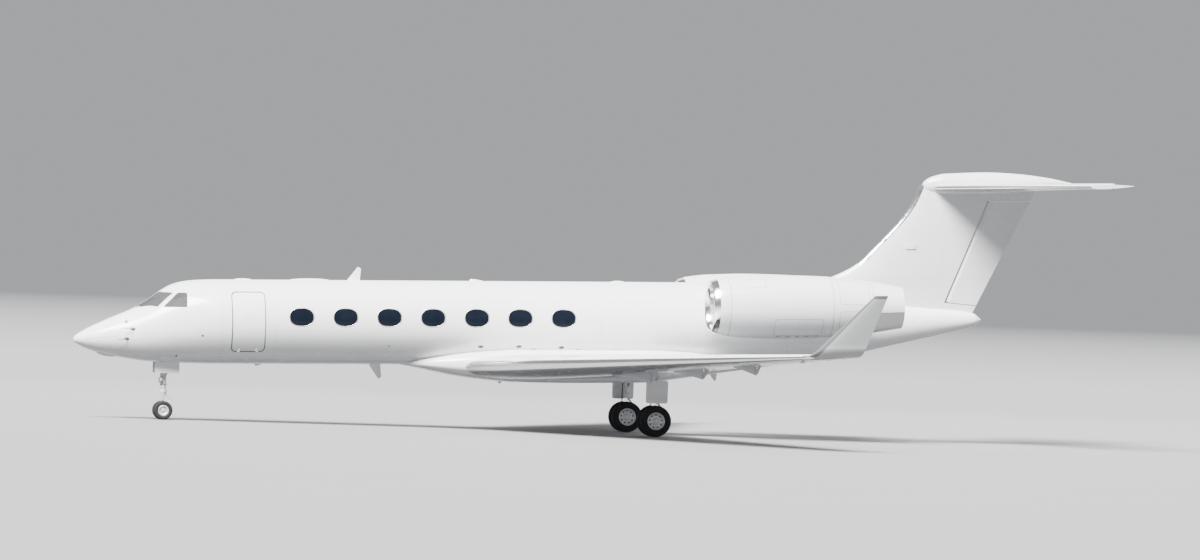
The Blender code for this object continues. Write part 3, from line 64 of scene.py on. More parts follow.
# Fuselage.
CABIN_RADIUS = 1.195
WALL = 0.075
RADOME_END = 1.30
COCKPIT_END = 4.10
CABIN_END = 14.90
AFT_END = 20.40
TAIL_END = 26.26
DECK_LEVEL = -0.80
DECK_GAP = 0.001
SECTION_GAP = 0.0015
HULL_SIDES = 96
CROWN = [
    (0.0, -0.47), (0.07, -0.40), (0.33, -0.235), (0.75, -0.03), (1.17, 0.15), (1.6, 0.33),
    (1.88, 0.48), (2.17, 0.67), (2.45, 0.87), (2.73, 1.03), (3.02, 1.12), (3.45, 1.175),
    (4.1, 1.195), (18.0, 1.195), (19.5, 1.14), (20.5, 1.05), (21.5, 0.94), (22.5, 0.80),
    (23.5, 0.63), (24.5, 0.52), (25.65, 0.42), (26.05, 0.35), (26.26, 0.19),
]
KEEL = [
    (0.0, -0.57), (0.07, -0.62), (0.33, -0.76), (0.75, -0.90), (1.17, -0.99), (1.6, -1.07),
    (2.17, -1.14), (3.02, -1.18), (4.1, -1.195), (19.2, -1.195), (20.3, -1.15), (21.5, -0.99),
    (22.7, -0.80), (23.6, -0.60), (24.5, -0.40), (25.35, -0.20), (26.05, -0.02), (26.26, 0.13),
]
BREADTH = [
    (0.0, 0.05), (0.07, 0.13), (0.33, 0.30), (0.75, 0.475), (1.17, 0.615), (1.6, 0.745),
    (2.17, 0.905), (2.73, 1.02), (3.45, 1.12), (4.1, 1.17), (5.0, 1.195), (17.2, 1.195),
    (19.0, 1.12), (20.5, 0.97), (22.0, 0.76), (23.5, 0.53), (25.0, 0.33), (26.05, 0.18),
    (26.26, 0.03),
]
NOSE_MARKS = (0.012, 0.03, 0.05, 0.08, 0.12, 0.16, 0.20, 0.26, 0.32, 0.38, 0.45, 0.52, 0.6)
TAIL_MARKS = (26.05, 26.10, 26.15, 26.20, 26.23)
WATERLINE = [
    (0.0, -0.52), (1.17, -0.42), (2.17, -0.26), (3.02, -0.14), (4.1, -0.03), (5.0, 0.0),
    (19.0, 0.0), (21.5, 0.0), (23.5, 0.02), (25.0, 0.10), (26.26, 0.16),
]
BELLY_DEPTH = [
    (9.25, 1.18), (9.7, 1.27), (10.2, 1.38), (10.9, 1.52), (11.6, 1.61), (12.6, 1.68),
    (14.0, 1.70), (16.3, 1.68), (17.4, 1.56), (18.4, 1.42), (19.3, 1.30), (20.1, 1.185),
]
BELLY_HALF = [
    (9.25, 0.30), (9.7, 0.66), (10.2, 0.95), (10.9, 1.18), (11.6, 1.28), (12.6, 1.34),
    (16.3, 1.34), (17.4, 1.26), (18.4, 1.08), (19.3, 0.80), (20.1, 0.30),
]
BELLY_TOP = [
    (9.25, -1.10), (9.7, -1.02), (10.2, -0.92), (10.9, -0.80), (11.6, -0.72), (12.6, -0.66),
    (16.3, -0.66), (17.4, -0.72), (18.4, -0.84), (19.3, -0.98), (20.1, -1.10),
]
DOOR_CUT = (-0.5, -1.5)
STAIR_COUNT = 5
STAIR_PITCH = 0.275
HINGE_STANDOFF = 0.020
HINGE_INSET = 0.22
PANE_CORNER = 0.05
PANE_RUN = (1.6, 3.45)
WINDSCREEN_CUT = (0.1, 1.3)
SIDE_WINDOW_CUT = (0.40, 1.3)
DOOR_LOW = (4.38, -0.82)
DOOR_HIGH = (5.30, 0.84)
DOOR_CORNER = 0.13
STAIR_ANGLE = math.radians(135)
WINDOW_COUNT = 7
WINDOW_FIRST = 6.34
WINDOW_PITCH = 1.25
WINDOW_LEVEL = 0.15
WINDOW_HALF = (0.34, 0.25)
WINDSCREEN = [
    (1.775, 0.035), (1.86, 0.35), (2.30, 0.728), (2.785, 0.614), (2.63, 0.47), (2.51, 0.34),
    (2.43, 0.18), (2.41, 0.035),
]
SIDE_WINDOW = [(2.417, 0.40), (2.871, 0.832), (3.15, 0.832), (3.125, 0.40)]

# Wing.
WING_SPANS = (0.95, 13.30)
WING_NOSE = (10.32, 0.5844)
WING_CHORD = (6.00, -0.3333)
WING_LEVEL = (-1.262, 0.0419)
WING_THICKNESS = (0.125, 0.100)
WING_CAMBER = 0.012
WING_TWIST = (math.radians(2.4), math.radians(-0.4))
COARSE_STEPS = (0.0, 0.01, 0.05, 0.14, 0.30, 0.50, 0.72, 1.0)
FINE_STEPS = tuple((1 - math.cos(math.pi * k / 40)) / 2 for k in range(41))
EDGE_SHARE = FINE_STEPS[4]
FLAP_SPAN = (2.95, 9.30)
FLAP_FRONT = 0.76
FLAP_HINGE_DROP = 0.20
FLAP_HINGE_LEAD = 0.03
FLAP_LENGTHS = (1.9, 1.9)
AILERON_SPAN = (9.95, 12.85)
AILERON_HINGE = 0.76
AILERON_LENGTHS = (0.9, 0.9)
SPOILER_SPAN = (3.50, 8.90)
SPOILER_HINGE = 0.60
SPOILER_BACK = 0.735
SPOILER_HALF = 0.015
PANEL_GAP = 0.006
SURFACE_INSET = 0.0023
HINGE_PIN = 0.012
PIN_REACH = 0.040
ROOM_BEHIND = 0.5
WINGLET_CANT = math.radians(77)
WINGLET_BLEND = 0.42
WINGLET_TOP = (14.235, 0.98)
WINGLET_TOP_STATION = 19.93
WINGLET_TOP_CHORD = 0.36
WINGLET_TOP_THICKNESS = 0.085

# Tail.
FIN_NOSE = [
    (0.25, 20.6), (1.02, 20.9), (1.24, 21.5), (1.50, 22.15), (1.72, 22.55), (2.12, 22.99),
    (3.44, 24.17), (4.05, 24.45),
]
FIN_BACK = (26.10, 0.52, 0.5195)
FIN_THICKNESS = (0.37, 0.5, 0.055)
FIN_METAL_FROM = 1.75
FIN_METAL_SHARE = 0.0381
RUDDER_FOOT = Vector((25.30, 0.0, 0.66))
RUDDER_HEAD = Vector((26.55, 0.0, 3.58))
BULLET = [
    (24.50, 4.02, 0.03, 0.03), (24.57, 4.03, 0.13, 0.10), (24.78, 4.04, 0.25, 0.18),
    (25.2, 4.06, 0.325, 0.235), (26.2, 4.10, 0.33, 0.25), (27.3, 4.12, 0.275, 0.22),
    (28.2, 4.12, 0.17, 0.14), (28.95, 4.12, 0.02, 0.02),
]
TAILPLANE_HALF_SPAN = 5.36
TAILPLANE_NOSE = (24.70, 0.642)
TAILPLANE_CHORD = (3.20, -0.364)
TAILPLANE_LEVEL = (3.96, 0.006)
TAILPLANE_THICKNESS = 0.095
TAILPLANE_TILT = math.radians(-1.5)
ELEVATOR_SPAN = (0.64, 4.95)
ELEVATOR_HINGE = 0.72
ELEVATOR_LENGTHS = (1.6, 1.6)

# Engines.
ENGINE_SPAN = 2.42
ENGINE_LEVEL = 0.53
FAN_STATION = 18.95
FAN_RADIUS = 0.610
FAN_BLADES = 18
NACELLE_OUTER = [
    (17.86, 0.745), (18.1, 0.810), (18.7, 0.875), (19.8, 0.905), (21.0, 0.880), (22.2, 0.765),
    (23.34, 0.590),
]
NACELLE_INNER = [(17.88, 0.640), (18.2, 0.600), (19.5, 0.640), (22.2, 0.645), (23.34, 0.570)]
NACELLE_LIP = [(17.812, 0.722), (17.800, 0.695), (17.822, 0.665)]
COWL_FLAT = 0.045
COWL_FLAT_RUN = (17.9, 23.3)
COWL_FLAT_EASE = 0.5
NOZZLE_START = 22.42
FAN_CASE_END = 19.4

# Landing gear.
MAIN_WHEEL = (0.4445, 0.280)
MAIN_HALF_TRACK = 0.245
NOSE_WHEEL = (0.2665, 0.184)
NOSE_HALF_TRACK = 0.185
RIM_SHARE = 0.56
MAIN_AXLE_BOSS = 0.080
NOSE_AXLE_BOSS = 0.073


# Outlines and sections.
def turns(count):
    """Equal angles round a full turn."""
    return [2 * math.pi * k / count for k in range(count)]


def read_line(points, x):
    """Reads a straight-sided curve through (x, value) points, and 0 outside them."""
    for a, b in zip(points, points[1:]):
        if a[0] <= x <= b[0]:
            return a[1] + (b[1] - a[1]) * (x - a[0]) / (b[0] - a[0])
    return 0.0


def smooth(points, x):
    """Reads a monotone cubic curve through (x, value) points."""
    last = len(points) - 1
    i = next((j for j in range(last) if x <= points[j + 1][0]), last - 1)
    start, end = points[i], points[i + 1]

    def slope(j):
        runs = []
        for a, b in ((j - 1, j), (j, j + 1)):
            if 0 <= a and b <= last:
                runs.append((points[b][1] - points[a][1]) / (points[b][0] - points[a][0]))
        if len(runs) == 1:
            return runs[0]
        return 0.0 if runs[0] * runs[1] <= 0 else 2 * runs[0] * runs[1] / (runs[0] + runs[1])

    step = end[0] - start[0]
    t = min(max((x - start[0]) / step, 0.0), 1.0)
    level = start[1] * (1 + 2 * t) * (1 - t) ** 2 + end[1] * t * t * (3 - 2 * t)
    return level + slope(i) * step * t * (1 - t) ** 2 - slope(i + 1) * step * t * t * (1 - t)


def curve(points, steps):
    """Points on a Catmull-Rom curve through the given ones."""
    points = [Vector(p) for p in points]
    last = len(points) - 1
    result = []
    for i in range(last):
        a, b, c, d = points[max(i - 1, 0)], points[i], points[i + 1], points[min(i + 2, last)]
        for k in range(steps):
            t = k / steps
            square = 2 * a - 5 * b + 4 * c - d
            cube = 3 * b - a - 3 * c + d
            result.append((2 * b + (c - a) * t + square * t**2 + cube * t**3) / 2)
    return result + [points[-1]]


def rounded(outline, radius, steps=5):
    """Rounds each corner of an outline with a short arc."""
    result = []
    count = len(outline)
    for i, point in enumerate(outline):
        here = Vector(point)
        before = Vector(outline[i - 1]) - here
        after = Vector(outline[(i + 1) % count]) - here
        reach = min(radius, before.length * 0.45, after.length * 0.45)
        a = here + before.normalized() * reach
        b = here + after.normalized() * reach
        for k in range(steps + 1):
            t = k / steps
            result.append(tuple(a * (1 - t) ** 2 + here * 2 * t * (1 - t) + b * t * t))
    return result


def shrunk(outline, amount):
    """Moves each edge of an outline inwards by amount."""
    area = sum(a[0] * b[1] - b[0] * a[1] for a, b in zip(outline, outline[1:] + outline[:1]))
    turn = 1.0 if area > 0 else -1.0
    result = []
    for i, here in enumerate(outline):
        before = Vector(here) - Vector(outline[i - 1])
        after = Vector(outline[(i + 1) % len(outline)]) - Vector(here)
        n1 = Vector((-before.y, before.x)).normalized() * turn
        n2 = Vector((-after.y, after.x)).normalized() * turn
        result.append(tuple(Vector(here) + (n1 + n2) / (1 + n1.dot(n2)) * amount))
    return result


def dense(outline, step):
    """Adds points along the edges of an outline, none further apart than step."""
    result = []
    for a, b in zip(outline, outline[1:] + outline[:1]):
        count = max(1, math.ceil(math.dist(a, b) / step))
        result += [tuple(Vector(a).lerp(Vector(b), k / count)) for k in range(count)]
    return result


def superellipse(centre, half, power, count):
    """A squarish oval as (a, b) points."""
    points = []
    for angle in turns(count):
        c, s = math.cos(angle), math.sin(angle)
        a = centre[0] + half[0] * math.copysign(abs(c) ** power, c)
        points.append((a, centre[1] + half[1] * math.copysign(abs(s) ** power, s)))
    return points


# Mesh making.
def add_loft(bm, rings, closed=False, caps=True, paint=0):
    """Bridges rings of equal point count and returns the new faces."""
    rows = [[bm.verts.new(point) for point in ring] for ring in rings]
    pairs = list(zip(rows, rows[1:])) + ([(rows[-1], rows[0])] if closed else [])
    count = len(rows[0])
    faces = []
    for low, high in pairs:
        for k in range(count):
            n = (k + 1) % count
            faces.append(bm.faces.new((low[k], low[n], high[n], high[k])))
    if caps and not closed:
        faces += [bm.faces.new(rows[0][::-1]), bm.faces.new(rows[-1])]
    for face in faces:
        face.material_index = paint
    return faces


def loft(rings, closed=False, paint=0):
    """A new mesh with one skin through the rings."""
    bm = bmesh.new()
    add_loft(bm, rings, closed, paint=paint)
    return bm


def add_prism(bm, outline, start, end, paint=0):
    """Adds an outline drawn out between two places."""
    return add_loft(bm, [[start(p) for p in outline], [end(p) for p in outline]], paint=paint)


def side_prism(outline, near, far):
    """A block whose outline is drawn in side view."""
    bm = bmesh.new()
    add_prism(bm, outline, lambda p: (p[0], near, p[1]), lambda p: (p[0], far, p[1]))
    return bm


def plan_prism(outline, low, high):
    """A block whose outline is drawn from above."""
    bm = bmesh.new()
    add_prism(bm, outline, lambda p: (p[0], p[1], low), lambda p: (p[0], p[1], high))
    return bm


def add_turned(bm, profile, centre, axis, sides=48, closed=False, paint=0):
    """Turns (along, radius) points about an axis through centre."""
    turn = Vector((1, 0, 0)).rotation_difference(Vector(axis).normalized())
    rings = []
    for along, radius in profile:
        spokes = [Vector((along, radius * math.sin(a), radius * math.cos(a))) for a in turns(sides)]
        rings.append([Vector(centre) + turn @ spoke for spoke in spokes])
    return add_loft(bm, rings, closed, paint=paint)


def add_upright(bm, profile, x, y, sides, **settings):
    """Turns (level, radius) points about a vertical line."""
    return add_turned(bm, profile, (x, y, 0), (0, 0, 1), sides, **settings)


def add_rod(bm, start, end, radius, end_radius=None, sides=20, paint=0, edge=0.12):
    """A round bar between two points with its end edges eased."""
    start, end = Vector(start), Vector(end)
    far = radius if end_radius is None else end_radius
    length = (end - start).length
    ease = min(radius, far) * edge
    profile = [(0, radius - ease), (ease, radius), (length - ease, far), (length, far - ease)]
    return add_turned(bm, profile, start, end - start, sides, paint=paint)


def add_tube(bm, points, radius, sides=10, paint=0):
    """A tube swept along points."""
    points = [Vector(p) for p in points]
    rings = []
    up = Vector((0.31, 0.17, 0.93))
    for i, point in enumerate(points):
        along = (points[min(i + 1, len(points) - 1)] - points[max(i - 1, 0)]).normalized()
        across = along.cross(up).normalized()
        other = across.cross(along)
        up = other
        spokes = [across * math.cos(angle) + other * math.sin(angle) for angle in turns(sides)]
        rings.append([point + spoke * radius for spoke in spokes])
    return add_loft(bm, rings, paint=paint)


def add_block(bm, low, high, ease=0.004, paint=0, matrix=None):
    """A box with eased edges."""
    low, high = Vector(low), Vector(high)
    place = Matrix.Translation((low + high) / 2) @ Matrix.Diagonal((*(high - low), 1))
    made = bmesh.ops.create_cube(bm, size=1, matrix=place)
    edges = list({edge for vert in made["verts"] for edge in vert.link_edges})
    beveled = bmesh.ops.bevel(bm, geom=edges, offset=ease, segments=2, profile=0.6, affect="EDGES")
    verts = {v for face in beveled["faces"] for v in face.verts}
    faces = {face for v in verts for face in v.link_faces}
    for face in faces:
        face.material_index = paint
    if matrix is not None:
        bmesh.ops.transform(bm, matrix=matrix, verts=list({v for f in faces for v in f.verts}))
    return list(faces)


def joined(*shapes):
    """One mesh of several, which are used up."""
    bm = bmesh.new()
    for shape in shapes:
        mesh = bpy.data.meshes.new("joined")
        shape.to_mesh(mesh)
        shape.free()
        bm.from_mesh(mesh)
        bpy.data.meshes.remove(mesh)
    return bm


def boolean(bm, cutters, operation="DIFFERENCE"):
    """Cuts or intersects one mesh with others, which are used up."""
    helpers = []
    for shape in [bm, *cutters]:
        bmesh.ops.remove_doubles(shape, verts=shape.verts, dist=1e-5)
        bmesh.ops.recalc_face_normals(shape, faces=shape.faces)
        mesh = bpy.data.meshes.new("helper")
        shape.to_mesh(mesh)
        shape.free()
        helper = bpy.data.objects.new("helper", mesh)
        bpy.context.scene.collection.objects.link(helper)
        helpers.append(helper)
    for cutter in helpers[1:]:
        modifier = helpers[0].modifiers.new("cut", "BOOLEAN")
        modifier.operation = operation
        modifier.object = cutter
        modifier.solver = "EXACT"
    bpy.context.view_layer.update()
    result = bmesh.new()
    result.from_object(helpers[0], bpy.context.evaluated_depsgraph_get())
    for helper in helpers:
        mesh = helper.data
        bpy.data.objects.remove(helper)
        bpy.data.meshes.remove(mesh)
    return result


def piece(name, bm, finishes, body="airframe", nodes=(), place=AIRFRAME, sharp=32,
          normal_at=None):
    """Makes a piece of the model from a mesh drawn in stations, or on the ground."""
    bmesh.ops.remove_doubles(bm, verts=bm.verts, dist=2e-5)
    bmesh.ops.dissolve_degenerate(bm, edges=bm.edges, dist=1e-6)
    bmesh.ops.recalc_face_normals(bm, faces=bm.faces)
    mesh = bpy.data.meshes.new(name)
    bm.to_mesh(mesh)
    bm.free()
    for finish in finishes:
        mesh.materials.append(finish)
    mesh.shade_smooth()
    mesh.set_sharp_from_angle(angle=math.radians(sharp))
    if normal_at is not None:
        lay_normals(mesh, normal_at)
    mesh.transform(place)
    obj = bpy.data.objects.new(name, mesh)
    bpy.context.scene.collection.objects.link(obj)
    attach(obj, body)
    if nodes:
        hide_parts(*nodes)
    return obj


def lay_normals(mesh, normal_at):
    """Gives the outer skin the true normals of its curve, so that cut-outs leave no ripples."""
    normals = [Vector((0, 0, 0))] * len(mesh.loops)
    for polygon in mesh.polygons:
        if polygon.normal.dot(normal_at(polygon.center)) < 0.97:
            continue
        for index in polygon.loop_indices:
            normals[index] = normal_at(mesh.vertices[mesh.loops[index].vertex_index].co)
    mesh.normals_split_custom_set(normals)


def paint_faces(bm, rule):
    """Sets each face's finish from a rule on its centre and normal."""
    bmesh.ops.recalc_face_normals(bm, faces=bm.faces)
    for face in bm.faces:
        index = rule(face.calc_center_median(), face.normal)
        if index is not None:
            face.material_index = index
    return bm


# Finishes.
SEAM_HALF = 0.0022
RIVET_HALF = 0.0035
RIVET_OFFSET = 0.028
RIVET_PITCH = 0.035


class Finish:
    """A node material whose patterns are laid out in the airframe's own frame."""

    def __init__(self, name, colour, roughness, metallic=0.0, on_ground=False, **sockets):
        self.material = bpy.data.materials.new(name)
        self.material.use_nodes = True
        self.tree = self.material.node_tree
        self.shader = self.tree.nodes["Principled BSDF"]
        self.set(self.shader, Roughness=roughness, Metallic=metallic)
        self.shader.inputs["Base Color"].default_value = (*colour, 1)
        self.set(self.shader, **{key.replace("_", " "): value for key, value in sockets.items()})
        self.colour = None
        self.plain = (*colour, 1)
        self.height = None
        coords = self.tree.nodes.new("ShaderNodeTexCoord")
        self.point = coords.outputs["Object"]
        if not on_ground:
            ins = (self.point, (0, 0, AXIS_HEIGHT))
            shift = self.add("ShaderNodeVectorMath", operation="SUBTRACT", ins=ins)
            ins = {"Vector": shift, "Angle": PITCH}
            turn = self.add("ShaderNodeVectorRotate", rotation_type="Y_AXIS", ins=ins)
            ins = (turn, (ORIGIN_STATION, 0, 0))
            self.point = self.add("ShaderNodeVectorMath", operation="ADD", ins=ins)
        split = self.tree.nodes.new("ShaderNodeSeparateXYZ")
        self.tree.links.new(self.point, split.inputs[0])
        self.x, self.y, self.z = split.outputs

    @staticmethod
    def set(node, **values):
        for key, value in values.items():
            node.inputs[key].default_value = value

    def add(self, kind, out=0, ins=(), **settings):
        """Adds a node, sets or links its inputs and returns one output."""
        node = self.tree.nodes.new(kind)
        for key, value in settings.items():
            setattr(node, key, value)
        pairs = ins.items() if isinstance(ins, dict) else enumerate(ins)
        for key, value in pairs:
            if isinstance(value, bpy.types.NodeSocket):
                self.tree.links.new(value, node.inputs[key])
            else:
                node.inputs[key].default_value = value
        return node.outputs[out]

    def math(self, operation, *values):
        return self.add("ShaderNodeMath", operation=operation, ins=values)

    def noise(self, scale, detail=3.0, stretch=(1, 1, 1)):
        place = self.add("ShaderNodeMapping", ins={"Vector": self.point, "Scale": stretch})
        return self.add("ShaderNodeTexNoise", ins={"Vector": place, "Scale": scale, "Detail": detail})

    def cells(self, scale, **inputs):
        """The distance from the middle of each cell of a pattern."""
        return self.add("ShaderNodeTexVoronoi", ins={"Vector": self.point, "Scale": scale, **inputs})

    def span(self, value, low, high, to_low=0.0, to_high=1.0):
        """Maps low..high to to_low..to_high, held at the ends."""
        return self.add("ShaderNodeMapRange", ins=(value, low, high, to_low, to_high), clamp=True)

    def line(self, value, centre, half):
        """1 inside a thin band and 0 elsewhere."""
        return self.math("COMPARE", value, centre, half)

    def lines(self, value, centres, half):
        result = self.line(value, centres[0], half)
        for centre in centres[1:]:
            result = self.math("MAXIMUM", result, self.line(value, centre, half))
        return result

    def repeat(self, value, pitch, half):
        """Thin bands at every multiple of pitch."""
        return self.math("LESS_THAN", self.math("PINGPONG", value, pitch / 2), half)

    def tint(self, factor, colour):
        """Mixes another colour over what is there."""
        node = self.tree.nodes.new("ShaderNodeMix")
        node.data_type = "RGBA"
        self.tree.links.new(factor, node.inputs["Factor"])
        if self.colour is None:
            node.inputs["A"].default_value = self.plain
        else:
            self.tree.links.new(self.colour, node.inputs["A"])
        node.inputs["B"].default_value = (*colour, 1)
        self.colour = node.outputs["Result"]
        return self

    def rough(self, value):
        self.tree.links.new(value, self.shader.inputs["Roughness"])
        return self

    def raise_by(self, value, amount):
        """Adds a height in metres to the bump."""
        part = self.math("MULTIPLY", value, amount)
        self.height = part if self.height is None else self.math("ADD", self.height, part)
        return self

    def done(self):
        if self.colour is not None:
            self.tree.links.new(self.colour, self.shader.inputs["Base Color"])
        if self.height is not None:
            ins = {"Strength": 1.0, "Distance": 1.0, "Height": self.height}
            bump = self.add("ShaderNodeBump", ins=ins)
            self.tree.links.new(bump, self.shader.inputs["Normal"])
        return self.material


def white_paint(name, colour, rings=(), levels=(), spans=(), dirt=0.5):
    """Gloss paint with panel seams, rivet rows beside them, road film and faint streaks."""
    paint = Finish(name, colour, 0.24, Coat_Weight=0.35, Coat_Roughness=0.06)
    cloud = paint.noise(0.7, 4.0)
    paint.tint(paint.span(cloud, 0.35, 0.75, 0.0, 0.5), [c * 0.965 for c in colour])
    streak = paint.noise(2.2, 5.0, (0.25, 1.0, 1.6))
    low_down = paint.span(paint.z, 0.2, -1.6, 0.0, dirt)
    film = paint.math("MULTIPLY", paint.span(streak, 0.45, 0.8), low_down)
    paint.tint(film, (0.52, 0.51, 0.48))
    seams = None
    out = paint.math("ABSOLUTE", paint.y)
    for values, axis in ((rings, paint.x), (levels, paint.z), (spans, out)):
        if values:
            lines = paint.lines(axis, values, SEAM_HALF)
            seams = lines if seams is None else paint.math("MAXIMUM", seams, lines)
    if rings:
        rows = [ring + way * RIVET_OFFSET for ring in rings for way in (-1, 1)]
        near = paint.lines(paint.x, rows, RIVET_HALF)
        dots = paint.math("MULTIPLY", near, paint.repeat(paint.z, RIVET_PITCH, RIVET_HALF))
        paint.tint(paint.math("MULTIPLY", dots, 0.28), (0.45, 0.45, 0.46))
        paint.raise_by(dots, -0.0002)
    if seams is not None:
        paint.tint(paint.math("MULTIPLY", seams, 0.55), (0.30, 0.30, 0.31))
        paint.raise_by(seams, -0.0008)
    paint.raise_by(paint.noise(160.0, 2.0), 0.00001)
    paint.rough(paint.span(paint.noise(3.0, 5.0), 0.3, 0.8, 0.17, 0.34))
    return paint.done()


def metal(name, colour, low, high, grain=(1, 1, 1), scale=90.0, heat=None, on_ground=False):
    """Bare metal with a drawn grain and uneven gloss, and a heat tint if asked for."""
    finish = Finish(name, colour, 0.3, 1.0, on_ground=on_ground)
    grainy = finish.noise(scale, 3.0, grain)
    finish.tint(finish.span(grainy, 0.3, 0.7, 0.0, 0.5), [c * 0.8 for c in colour])
    if heat is not None:
        ragged = finish.span(finish.noise(4.0), 0, 1, -0.15, 0.15)
        finish.tint(finish.span(finish.math("ADD", finish.x, ragged), *heat), (0.36, 0.30, 0.25))
    finish.tint(finish.span(finish.noise(5.0, 6.0), 0.62, 0.75, 0.0, 0.35), [c * 0.55 for c in colour])
    finish.rough(finish.span(finish.noise(9.0, 5.0), 0.3, 0.7, low, high))
    finish.raise_by(grainy, 0.00005)
    return finish.done()


def grained(name, colour, other, low, high, scale, depth, metallic=0.0, on_ground=False, **sockets):
    """A dull or satin surface with mottled colour and a fine bump."""
    finish = Finish(name, colour, low, metallic, on_ground=on_ground, **sockets)
    finish.tint(finish.span(finish.noise(scale * 0.08, 5.0), 0.3, 0.75), other)
    finish.rough(finish.span(finish.noise(scale * 0.2, 4.0), 0.3, 0.7, low, high))
    finish.raise_by(finish.noise(scale, 3.0), depth)
    return finish.done()


def leather_finish():
    """Grained hide: pebbled cells, creases and a little wear."""
    finish = Finish("leather", (0.30, 0.22, 0.155), 0.45, Sheen_Weight=0.1)
    cells = finish.cells(260.0)
    finish.tint(finish.span(finish.noise(7.0, 5.0), 0.35, 0.75), (0.22, 0.155, 0.105))
    finish.tint(finish.span(cells, 0.0, 0.25, 0.25, 0.0), (0.12, 0.08, 0.05))
    finish.raise_by(cells, 0.0006)
    finish.rough(finish.span(finish.noise(14.0, 4.0), 0.3, 0.7, 0.38, 0.58))
    return finish.done()


def carpet_finish():
    """Looped wool carpet."""
    finish = Finish("carpet", (0.36, 0.33, 0.28), 0.9, Sheen_Weight=0.3)
    loops = finish.cells(220.0)
    finish.tint(finish.span(loops, 0.1, 0.6), (0.24, 0.215, 0.18))
    finish.tint(finish.span(finish.noise(2.0, 5.0), 0.4, 0.8, 0.0, 0.6), (0.30, 0.27, 0.23))
    finish.raise_by(loops, -0.003)
    return finish.done()


def rubber_finish():
    """Tyre rubber, greyed by dust in patches."""
    finish = Finish("tyre_rubber", (0.012, 0.012, 0.013), 0.75, on_ground=True, Specular_IOR_Level=0.3)
    finish.tint(finish.span(finish.noise(24.0, 5.0), 0.4, 0.8, 0.0, 0.5), (0.030, 0.029, 0.028))
    finish.rough(finish.span(finish.noise(12.0, 4.0), 0.3, 0.7, 0.62, 0.9))
    finish.raise_by(finish.noise(420.0, 3.0), 0.0004)
    return finish.done()


def glass_finish(name, colour, shine, **sockets):
    """Coated glazing with a faint film."""
    finish = Finish(name, colour, 0.12, Specular_IOR_Level=shine, **sockets)
    film = [c * 1.5 + 0.002 for c in colour]
    finish.tint(finish.span(finish.noise(3.5, 4.0), 0.35, 0.8, 0.0, 0.6), film)
    finish.rough(finish.span(finish.noise(11.0, 5.0), 0.35, 0.8, 0.10, 0.22))
    return finish.done()


def screen_finish():
    """A flight display: dark glass with plain horizon and scale bands."""
    finish = Finish("flight_display", (0.01, 0.012, 0.02), 0.15, Coat_Weight=0.5)
    for low, high, colour in ((-0.02, -0.021, (0.05, 0.03, 0.015)), (-0.018, -0.017, (0.01, 0.05, 0.13))):
        finish.tint(finish.math("MULTIPLY", finish.span(finish.z, low, high), 0.9), colour)
    finish.tint(finish.repeat(finish.z, 0.02, 0.0008), (0.25, 0.3, 0.3))
    return finish.done()


def spinner_finish():
    """Satin cone with one plain white spiral, to show when it turns."""
    finish = Finish("spinner", (0.06, 0.06, 0.065), 0.35)
    side = finish.math("SUBTRACT", finish.math("ABSOLUTE", finish.y), ENGINE_SPAN)
    up = finish.math("SUBTRACT", finish.z, ENGINE_LEVEL)
    angle = finish.math("DIVIDE", finish.math("ARCTAN2", side, up), 2 * math.pi)
    reach = finish.math("MULTIPLY", finish.math("SUBTRACT", finish.x, FAN_STATION - 0.34), 3.4)
    turn = finish.math("FRACT", finish.math("ADD", angle, reach))
    finish.tint(finish.math("LESS_THAN", turn, 0.16), (0.85, 0.85, 0.84))
    finish.raise_by(finish.noise(90.0), 0.00005)
    return finish.done()


def liner_finish():
    """Perforated acoustic lining of the inlet."""
    finish = Finish("inlet_liner", (0.46, 0.47, 0.48), 0.5, 0.3)
    holes = finish.cells(130.0, Randomness=0.15)
    # The dark dots are painted shade inside the perforations.
    finish.tint(finish.span(holes, 0.12, 0.2, 0.8, 0.0), (0.05, 0.05, 0.05))
    finish.raise_by(finish.span(holes, 0.1, 0.25), 0.0006)
    finish.tint(finish.span(finish.noise(6.0, 4.0), 0.4, 0.8, 0.0, 0.4), (0.3, 0.31, 0.32))
    return finish.done()


def lens_finish():
    """Clear ribbed lamp glass with a little haze."""
    colour = (0.80, 0.82, 0.85)
    finish = Finish("clear_lens", colour, 0.08, Coat_Weight=0.6, Transmission_Weight=0.4)
    finish.raise_by(finish.repeat(finish.z, 0.006, 0.0012), 0.0005)
    finish.tint(finish.span(finish.noise(60.0), 0.4, 0.8, 0.0, 0.4), [c * 0.6 for c in colour])
    return finish.done()


SKIN_RINGS = (1.30, 4.10, 5.62, 14.90, 16.55, 18.20, 20.40, 22.10, 23.80)
BELLY_RINGS = (10.6, 12.2, 13.8, 15.4, 17.0, 18.6)
WING_SEAMS = (2.95, 4.6, 6.3, 8.0, 9.62, 11.3, 13.1)
NOZZLE_HEAT = (22.6, 23.6, 0.0, 0.35)

SKIN = white_paint("skin_paint", (0.86, 0.865, 0.875), SKIN_RINGS, (0.62, -0.52, -0.98))
RADOME = white_paint("radome_paint", (0.845, 0.85, 0.86), dirt=0.35)
WING_PAINT = white_paint("wing_paint", (0.74, 0.75, 0.77), spans=WING_SEAMS, dirt=0.12)
# Painted shade: a dark grey copy of the white paint for faces that look down, standing in for the shade under
# the wings and the tailplane.
UNDERSIDE_PAINTED_SHADE = white_paint("underside_painted_shade", (0.36, 0.365, 0.375), spans=WING_SEAMS, dirt=0.12)
TAIL_PAINT = white_paint("tail_paint", (0.72, 0.725, 0.74), (25.1,), (1.35, 2.6, 3.62), dirt=0.2)
STAB_PAINT = white_paint("tailplane_paint", (0.74, 0.75, 0.77), spans=(0.62, 2.2, 3.8, 4.97), dirt=0.2)
COWL_PAINT = white_paint("cowl_paint", (0.76, 0.765, 0.78), (18.28, 19.45, 21.23), (0.53,), dirt=0.25)
BELLY_PAINT = white_paint("belly_paint", (0.80, 0.805, 0.815), BELLY_RINGS, (-1.1,), dirt=0.6)
